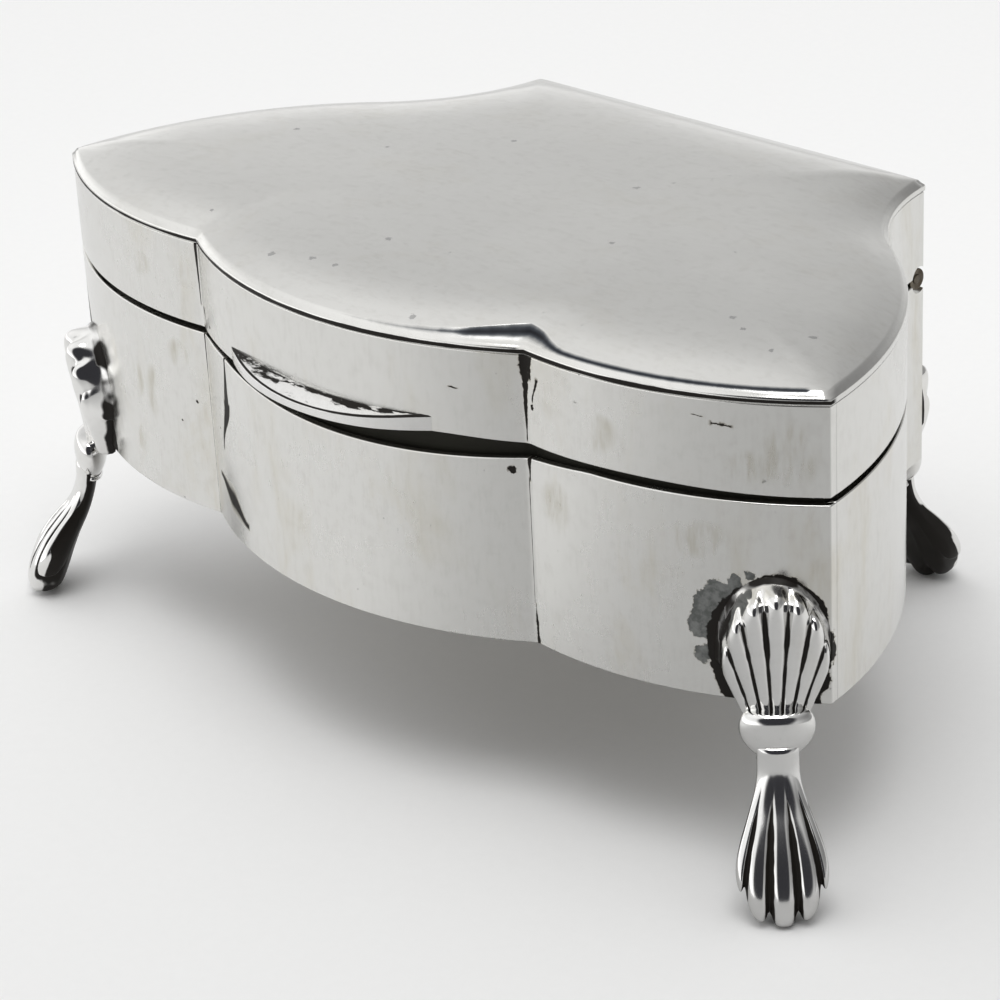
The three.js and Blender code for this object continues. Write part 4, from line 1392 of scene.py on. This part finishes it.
# Line of the foot: shares of its drop and of its reach
FOOT_LINE = (
    (-0.14, 0.1), (0.0, 0.1), (0.14, 0.17), (0.29, 0.31), (0.44, 0.53), (0.6, 0.74), (0.8, 0.92),
    (1.0, 1.0),
)
# Rows along that line: shares of the line, of the neck's depth and of the fluting
FOOT_ROWS = (
    (0.0, 1.0, 0.0), (0.25, 1.0, 0.0), (0.45, 1.05, 0.35), (0.62, 1.2, 0.9), (0.77, 1.3, 1.0),
    (0.89, 1.25, 1.0), (0.96, 1.0, 1.0), (1.0, 0.4, 1.0),
)
FOOT_COLUMNS = 8 * TOES
FOOT_LINES = 22
FOOT_STEP = 0.01
TOE_MARK = 0.5
TOE_DARKENING = 1.2
# Painted shade on the back of the foot
FOOT_BACK_MARK = 0.8


def along(rows, share):
    """Smooth reading between the rows of a short list."""
    last = len(rows) - 1
    here = share * last
    i = min(int(here), last - 1)
    t = here - i
    before, a, b, after = (Vector(rows[min(max(k, 0), last)]) for k in (i - 1, i, i + 1, i + 2))
    bend = 2 * before - 5 * a + 4 * b - after
    twist = 3 * a - before - 3 * b + after
    return a + (b - before) * (t / 2) + bend * (t * t / 2) + twist * (t ** 3 / 2)


def flute(place, count):
    """How far a place across lies from the middle of its rib, from 0 on the crest to 1 in the groove."""
    way = (place + 1) / 2 * count
    return 2 * abs(way - math.floor(way) - 0.5)


def new_casting():
    bm = bmesh.new()
    return bm, bm.verts.layers.float.new("groove")


def join_castings(castings):
    """Puts the parts of a casting into one mesh."""
    whole = bmesh.new()
    for casting in castings:
        mesh = bpy.data.meshes.new("casting")
        casting.to_mesh(mesh)
        casting.free()
        whole.from_mesh(mesh)
        bpy.data.meshes.remove(mesh)
    return whole


def fluted_block(columns, lines, shape):
    """Block divided into columns and lines whose front and back follow a rule."""
    bm, mark = new_casting()
    bmesh.ops.create_cube(bm, size=2)
    across = [edge for edge in bm.edges if abs(edge.verts[0].co.x - edge.verts[1].co.x) > 1]
    bmesh.ops.subdivide_edges(bm, edges=across, cuts=columns - 1, use_grid_fill=True)
    upright = [edge for edge in bm.edges if abs(edge.verts[0].co.z - edge.verts[1].co.z) > 1]
    bmesh.ops.subdivide_edges(bm, edges=upright, cuts=lines - 1, use_grid_fill=True)
    for vert in bm.verts:
        vert.co, vert[mark] = shape(vert.co.x, (vert.co.z + 1) / 2, vert.co.y < 0)
    return bm


def ease(value, low, high):
    """Smooth step from 0 to 1 between two values."""
    t = min(max((value - low) / (high - low), 0), 1)
    return t * t * (3 - 2 * t)


def shell_shape(wall_at, corner):
    """Rule for a shell whose foot of solder follows a wall and ends at a corner on one hand."""
    def shape(place, share, front):
        height, depth, flare = along(SHELL_ROWS, share)
        off = flute(place, RIBS)
        bulb = ease(share, BULB_START, BULB_END)
        hollow = off ** (4 - 2 * bulb)
        angle = place * SHELL_SWEEP
        tall = height * (1 - RIB_NOTCH * height * height * hollow * (1 - ease(share, HEAD_END, FILLET_END)))
        ray = Vector((math.sin(angle), math.cos(angle)))
        rim = Vector((ray.x * SHELL_WIDTH / 2, lerp(SHELL_MIDDLE, SHELL_TOP, ray.y)))
        spread = Vector((place * SHELL_ROOT_WIDTH / 2, -SHELL_ROOT)).lerp(rim, tall)
        spread += ray * flare
        spread.x = corner * min(corner * spread.x, SHELL_EDGE)
        wall = wall_at(spread.x)
        # Painted shade, darker towards the shell's root
        low = 1 - ease(spread.y, SHELL_ROOT, LOW_END)
        fillet = ease(share, FILLET_START, FILLET_END)
        if not front:
            return Vector((spread.x, wall + SHEET / 2, spread.y)), lerp(SIDE_MARK, 1, low)
        groove = 1 - RIB_GROOVE * (1 + bulb / 2) * hollow * (1 - fillet)
        side = lerp(SHELL_SIDE, 1, math.cos(place * math.pi / 2))
        out = SHELL_HEAD * lerp(side, 1, fillet) * depth * groove
        inner = 1 - ease(abs(place), INNER_GROOVES, 1)
        dark = inner * max(0.0, (off - RIB_MARK) / GROOVE_RUN) * (1 - ease(share, HEAD_START, HEAD_END))
        # Painted shade and tarnish where the shell meets the wall
        dark = max(dark, fillet * lerp(FILLET_MARK, 1, low))
        return Vector((spread.x, wall * fillet - out, spread.y)), min(dark, 1.0)
    return shape


def foot_point(share):
    down, out = along(FOOT_LINE, min(max(share, 0), 1))
    drop = LEG_DROP - COLLAR_HEIGHT
    return Vector((0, -COLLAR_SEAT - out * (FOOT_REACH - COLLAR_SEAT), -COLLAR_HEIGHT - down * drop))


def foot_shape(place, share, front):
    """Rule for a neck that spreads into round-ended toes."""
    line, depth, fluting = along(FOOT_ROWS, 1 - share)
    off = flute(place, TOES)
    hollow = fluting * off ** 4
    way = line * (1 - TOE_SHORTENING * place * place * fluting - TOE_NOTCH * hollow * line)
    here = foot_point(way)
    tangent = (foot_point(way + FOOT_STEP) - foot_point(way - FOOT_STEP)).normalized()
    out = Vector((0, tangent.z, -tangent.y))
    width = 1 + FOOT_FLARE * ease(way, FLARE_START, FLARE_END)
    wide = lerp(place, math.sin(place * math.pi / 2), TOE_WRAP) * width * NECK_WIDTH / 2
    thick = (1 - TOE_ROUNDING * place * place) * depth * NECK_DEPTH / 2
    if front:
        thick *= 1 - TOE_GROOVE * hollow
    else:
        thick *= 1 + FOOT_BACK * ease(way, FLARE_START, FLARE_END)
    point = here + out * (thick if front else -thick) + Vector((wide, 0, 0))
    point.z = max(point.z, -LEG_DROP)
    # Tarnish in the toes' grooves, painted shade on the back of the foot
    groove = max(0.0, (off - TOE_MARK) / GROOVE_RUN) * min(1.0, fluting * TOE_DARKENING)
    return point, min(groove, 1.0) if front else FOOT_BACK_MARK


def collar():
    """Bead turned about an upright axis, flattened, with a thin ring below it."""
    bm, mark = new_casting()
    pen = None
    for i, (wide, level) in enumerate(COLLAR_PROFILE):
        if pen is None:
            pen = bm.verts.new((0, 0, level))
            continue
        pen = bmesh.ops.extrude_vert_indiv(bm, verts=[pen])["verts"][0]
        pen.co = (wide * COLLAR_WIDTH / 2, 0, level)
        pen[mark] = 1.0 if i == COLLAR_GROOVE else 0.0
    bmesh.ops.spin(
        bm, geom=bm.verts[:] + bm.edges[:], cent=(0, 0, 0), axis=(0, 0, 1), dvec=(0, 0, 0),
        angle=2 * math.pi,
        steps=COLLAR_SIDES, use_merge=True)
    bmesh.ops.remove_doubles(bm, verts=bm.verts[:], dist=WELD)
    bmesh.ops.scale(bm, verts=bm.verts[:], vec=(1, COLLAR_DEPTH / COLLAR_WIDTH, 1))
    bmesh.ops.translate(bm, verts=bm.verts[:], vec=(0, -COLLAR_SEAT, 0))
    return bm


def leg(name, place, turn, wall_at, corner):
    shell = fluted_block(SHELL_COLUMNS, SHELL_LINES, shell_shape(wall_at, corner))
    foot = fluted_block(FOOT_COLUMNS, FOOT_LINES, foot_shape)
    bm = join_castings((shell, collar(), foot))
    bm.transform(Matrix.Translation(place.to_3d()) @ Matrix.Rotation(turn, 4, "Z"))
    finish_piece(name, bm, "base", silver_cast, smooth=math.pi, levels=1)


FRONT_TURN = math.radians(43)
FRONT_STAND = lobe_place(LEG_INSET)
SWING = FRONT_TURN - math.atan2(FRONT_STAND.x - LOBE_MIDDLE.x, LOBE_MIDDLE.y - FRONT_STAND.y)


def lobe_wall(hand):
    """Place of the curved wall behind a front leg, in the leg's own frame."""
    middle = Vector((hand * LOBE_RADIUS * math.sin(SWING), LOBE_RADIUS * math.cos(SWING)))
    return lambda x: middle.y - math.sqrt(LOBE_RADIUS ** 2 - (x - middle.x) ** 2)


for hand, side in ((-1, "left"), (1, "right")):
    front_place = Vector((hand * FRONT_STAND.x, FRONT_STAND.y))
    rear_place = Vector((hand * (BACK_WIDTH / 2 - LEG_INSET), BACK_DEPTH))
    leg(f"front_{side}_leg", front_place, hand * FRONT_TURN, lobe_wall(hand), hand)
    leg(f"rear_{side}_leg", rear_place, math.pi, lambda x: 0.0, -hand)


# Camera, floor and light

CAMERA_PLACE = row(193.714, -185.204, 135.553)
CAMERA_YAW = math.radians(44.956)
CAMERA_DOWN = math.radians(26.133)
CAMERA_ROLL = math.radians(-2.977)
CAMERA_LENS = 122.52
CAMERA_SENSOR = 36
CAMERA_NEAR = 0.01
VIEWER_SIDE = Vector((CAMERA_PLACE.x, CAMERA_PLACE.y, 0)).normalized()
VIEWER_LEFT = Vector((VIEWER_SIDE.y, -VIEWER_SIDE.x, 0))


def make_camera():
    data = bpy.data.cameras.new("camera")
    data.lens = CAMERA_LENS
    data.sensor_width = CAMERA_SENSOR
    data.clip_start = CAMERA_NEAR
    camera = bpy.data.objects.new("camera", data)
    tilt = Matrix.Rotation(math.pi / 2 - CAMERA_DOWN, 4, "X")
    turn = Matrix.Rotation(CAMERA_YAW, 4, "Z")
    roll = Matrix.Rotation(CAMERA_ROLL, 4, "Z")
    camera.matrix_world = Matrix.Translation(CAMERA_PLACE) @ turn @ tilt @ roll
    bpy.context.scene.collection.objects.link(camera)
    bpy.context.scene.camera = camera


# Floor colours: painted shade makes the paper greyer towards the viewer, and greyer still in reflections
FLOOR_FAR = (0.93, 0.93, 0.925, 1)
FLOOR_NEAR = (0.80, 0.80, 0.795, 1)
FLOOR_MIRRORED = (0.36, 0.36, 0.36, 1)
FLOOR_SIZE = 3
FLOOR_FADE = (-0.06, 0.12)
FLOOR_SHADE = (0.45, 1.1, 0.2, 0.8)
PAPER_SCALE = 900.0
PAPER_GRAIN = 0.06


def make_floor():
    """Pale paper with painted shade: a little greyer towards the viewer, and greyer still there when
    mirrored in the silver.
    """
    bm = bmesh.new()
    bmesh.ops.create_grid(bm, x_segments=1, y_segments=1, size=FLOOR_SIZE)
    mesh = bpy.data.meshes.new("floor")
    bm.to_mesh(mesh)
    bm.free()
    material = bpy.data.materials.new("pale_paper")
    material.use_nodes = True
    n = Nodes(material.node_tree)
    shader = material.node_tree.nodes["Principled BSDF"]
    shader.inputs["Roughness"].default_value = 0.8
    shader.inputs["Specular IOR Level"].default_value = 0.2
    place = n.add("ShaderNodeTexCoord").outputs["Object"]
    towards = n.vector("DOT_PRODUCT", place, VIEWER_SIDE, "Value")
    aside = n.vector("DOT_PRODUCT", n.vector("NORMALIZE", place, (0, 0, 0)), VIEWER_SIDE, "Value")
    paper = n.blend(n.stretch(towards, *FLOOR_FADE), FLOOR_FAR, FLOOR_NEAR)
    grain = n.math("MULTIPLY", n.noise(place, PAPER_SCALE, 4.0, 0.7), PAPER_GRAIN)
    paper = n.blend(grain, paper, FLOOR_MIRRORED)
    mirrored_ray = n.add("ShaderNodeLightPath").outputs["Is Glossy Ray"]
    shade = n.math("MULTIPLY", n.stretch(aside, *FLOOR_SHADE), mirrored_ray)
    n.join(n.blend(shade, paper, FLOOR_MIRRORED), shader.inputs["Base Color"])
    mesh.materials.append(material)
    floor = bpy.data.objects.new("floor", mesh)
    bpy.context.scene.collection.objects.link(floor)


LAMP_PLACE = VIEWER_SIDE * 0.3 + Vector((0, 0, 0.95))
LAMP_SIZE = 0.5
LAMP_POWER = 3.3


def make_lamp():
    """Soft square lamp over the box, turned to its middle."""
    data = bpy.data.lights.new("top_softbox", "AREA")
    data.shape = "RECTANGLE"
    data.size = LAMP_SIZE
    data.size_y = LAMP_SIZE
    data.energy = LAMP_POWER
    lamp = bpy.data.objects.new("top_softbox", data)
    lamp.location = LAMP_PLACE
    lamp.rotation_euler = LAMP_PLACE.to_track_quat("Z", "Y").to_euler()
    bpy.context.scene.collection.objects.link(lamp)


# Brightness of the room: shares of the way up from straight down, and levels
ROOM_STOPS = (
    (0.47, 0.6), (0.52, 0.95), (0.58, 0.85), (0.66, 0.64), (0.73, 0.58), (0.82, 0.66), (0.92, 0.76),
    (1.0, 0.78),
)
ROOM_LEAN = 0.7
SIDE_LIGHT = 0.9
VIEWER_DARK = (0.035, 0.035, 0.04, 1)
VIEWER_WAY = (VIEWER_SIDE + Vector((0, 0, 0.5))).normalized()
VIEWER_EDGE = (0.76, 0.88)
GLOW_WAY = (VIEWER_LEFT - VIEWER_SIDE * 0.4 + Vector((0, 0, 0.3))).normalized()
GLOW_EDGE = (0.2, 1.0)


def make_world():
    """Soft pale room, with a greyer band above the horizon and a dark side where the viewer stands."""
    world = bpy.data.worlds.new("studio")
    bpy.context.scene.world = world
    world.use_nodes = True
    n = Nodes(world.node_tree)
    background = world.node_tree.nodes["Background"]
    way = n.add("ShaderNodeTexCoord").outputs["Generated"]
    ramp = n.add("ShaderNodeValToRGB")
    n.join(n.math("MULTIPLY_ADD", n.part(way, "Z"), 0.5, 0.5), ramp.inputs[0])
    elements = ramp.color_ramp.elements
    for position, _ in ROOM_STOPS[1:-1]:
        elements.new(position)
    for element, (position, level) in zip(sorted(elements, key=lambda stop: stop.position), ROOM_STOPS):
        element.position = position
        element.color = (level, level, level, 1)
    shade = n.stretch(n.vector("DOT_PRODUCT", way, VIEWER_WAY, "Value"), *VIEWER_EDGE)
    rays = n.add("ShaderNodeLightPath").outputs
    to_left = n.math("MULTIPLY", n.vector("DOT_PRODUCT", way, VIEWER_LEFT, "Value"), rays["Is Glossy Ray"])
    glow = n.stretch(n.vector("DOT_PRODUCT", way, GLOW_WAY, "Value"), *GLOW_EDGE, 0.0, SIDE_LIGHT)
    glow = n.math("MULTIPLY", glow, rays["Is Diffuse Ray"])
    lean = n.math("ADD", n.math("MULTIPLY_ADD", to_left, ROOM_LEAN, 1.0), glow)
    lit = n.vector("SCALE", ramp.outputs["Color"], (0, 0, 0))
    n.feed(lit.node.inputs["Scale"], lean)
    n.join(n.blend(shade, lit, VIEWER_DARK), background.inputs["Color"])
    background.inputs["Strength"].default_value = 1.0


make_camera()
make_floor()
make_lamp()
make_world()
bpy.context.scene.view_settings.view_transform = "Standard"
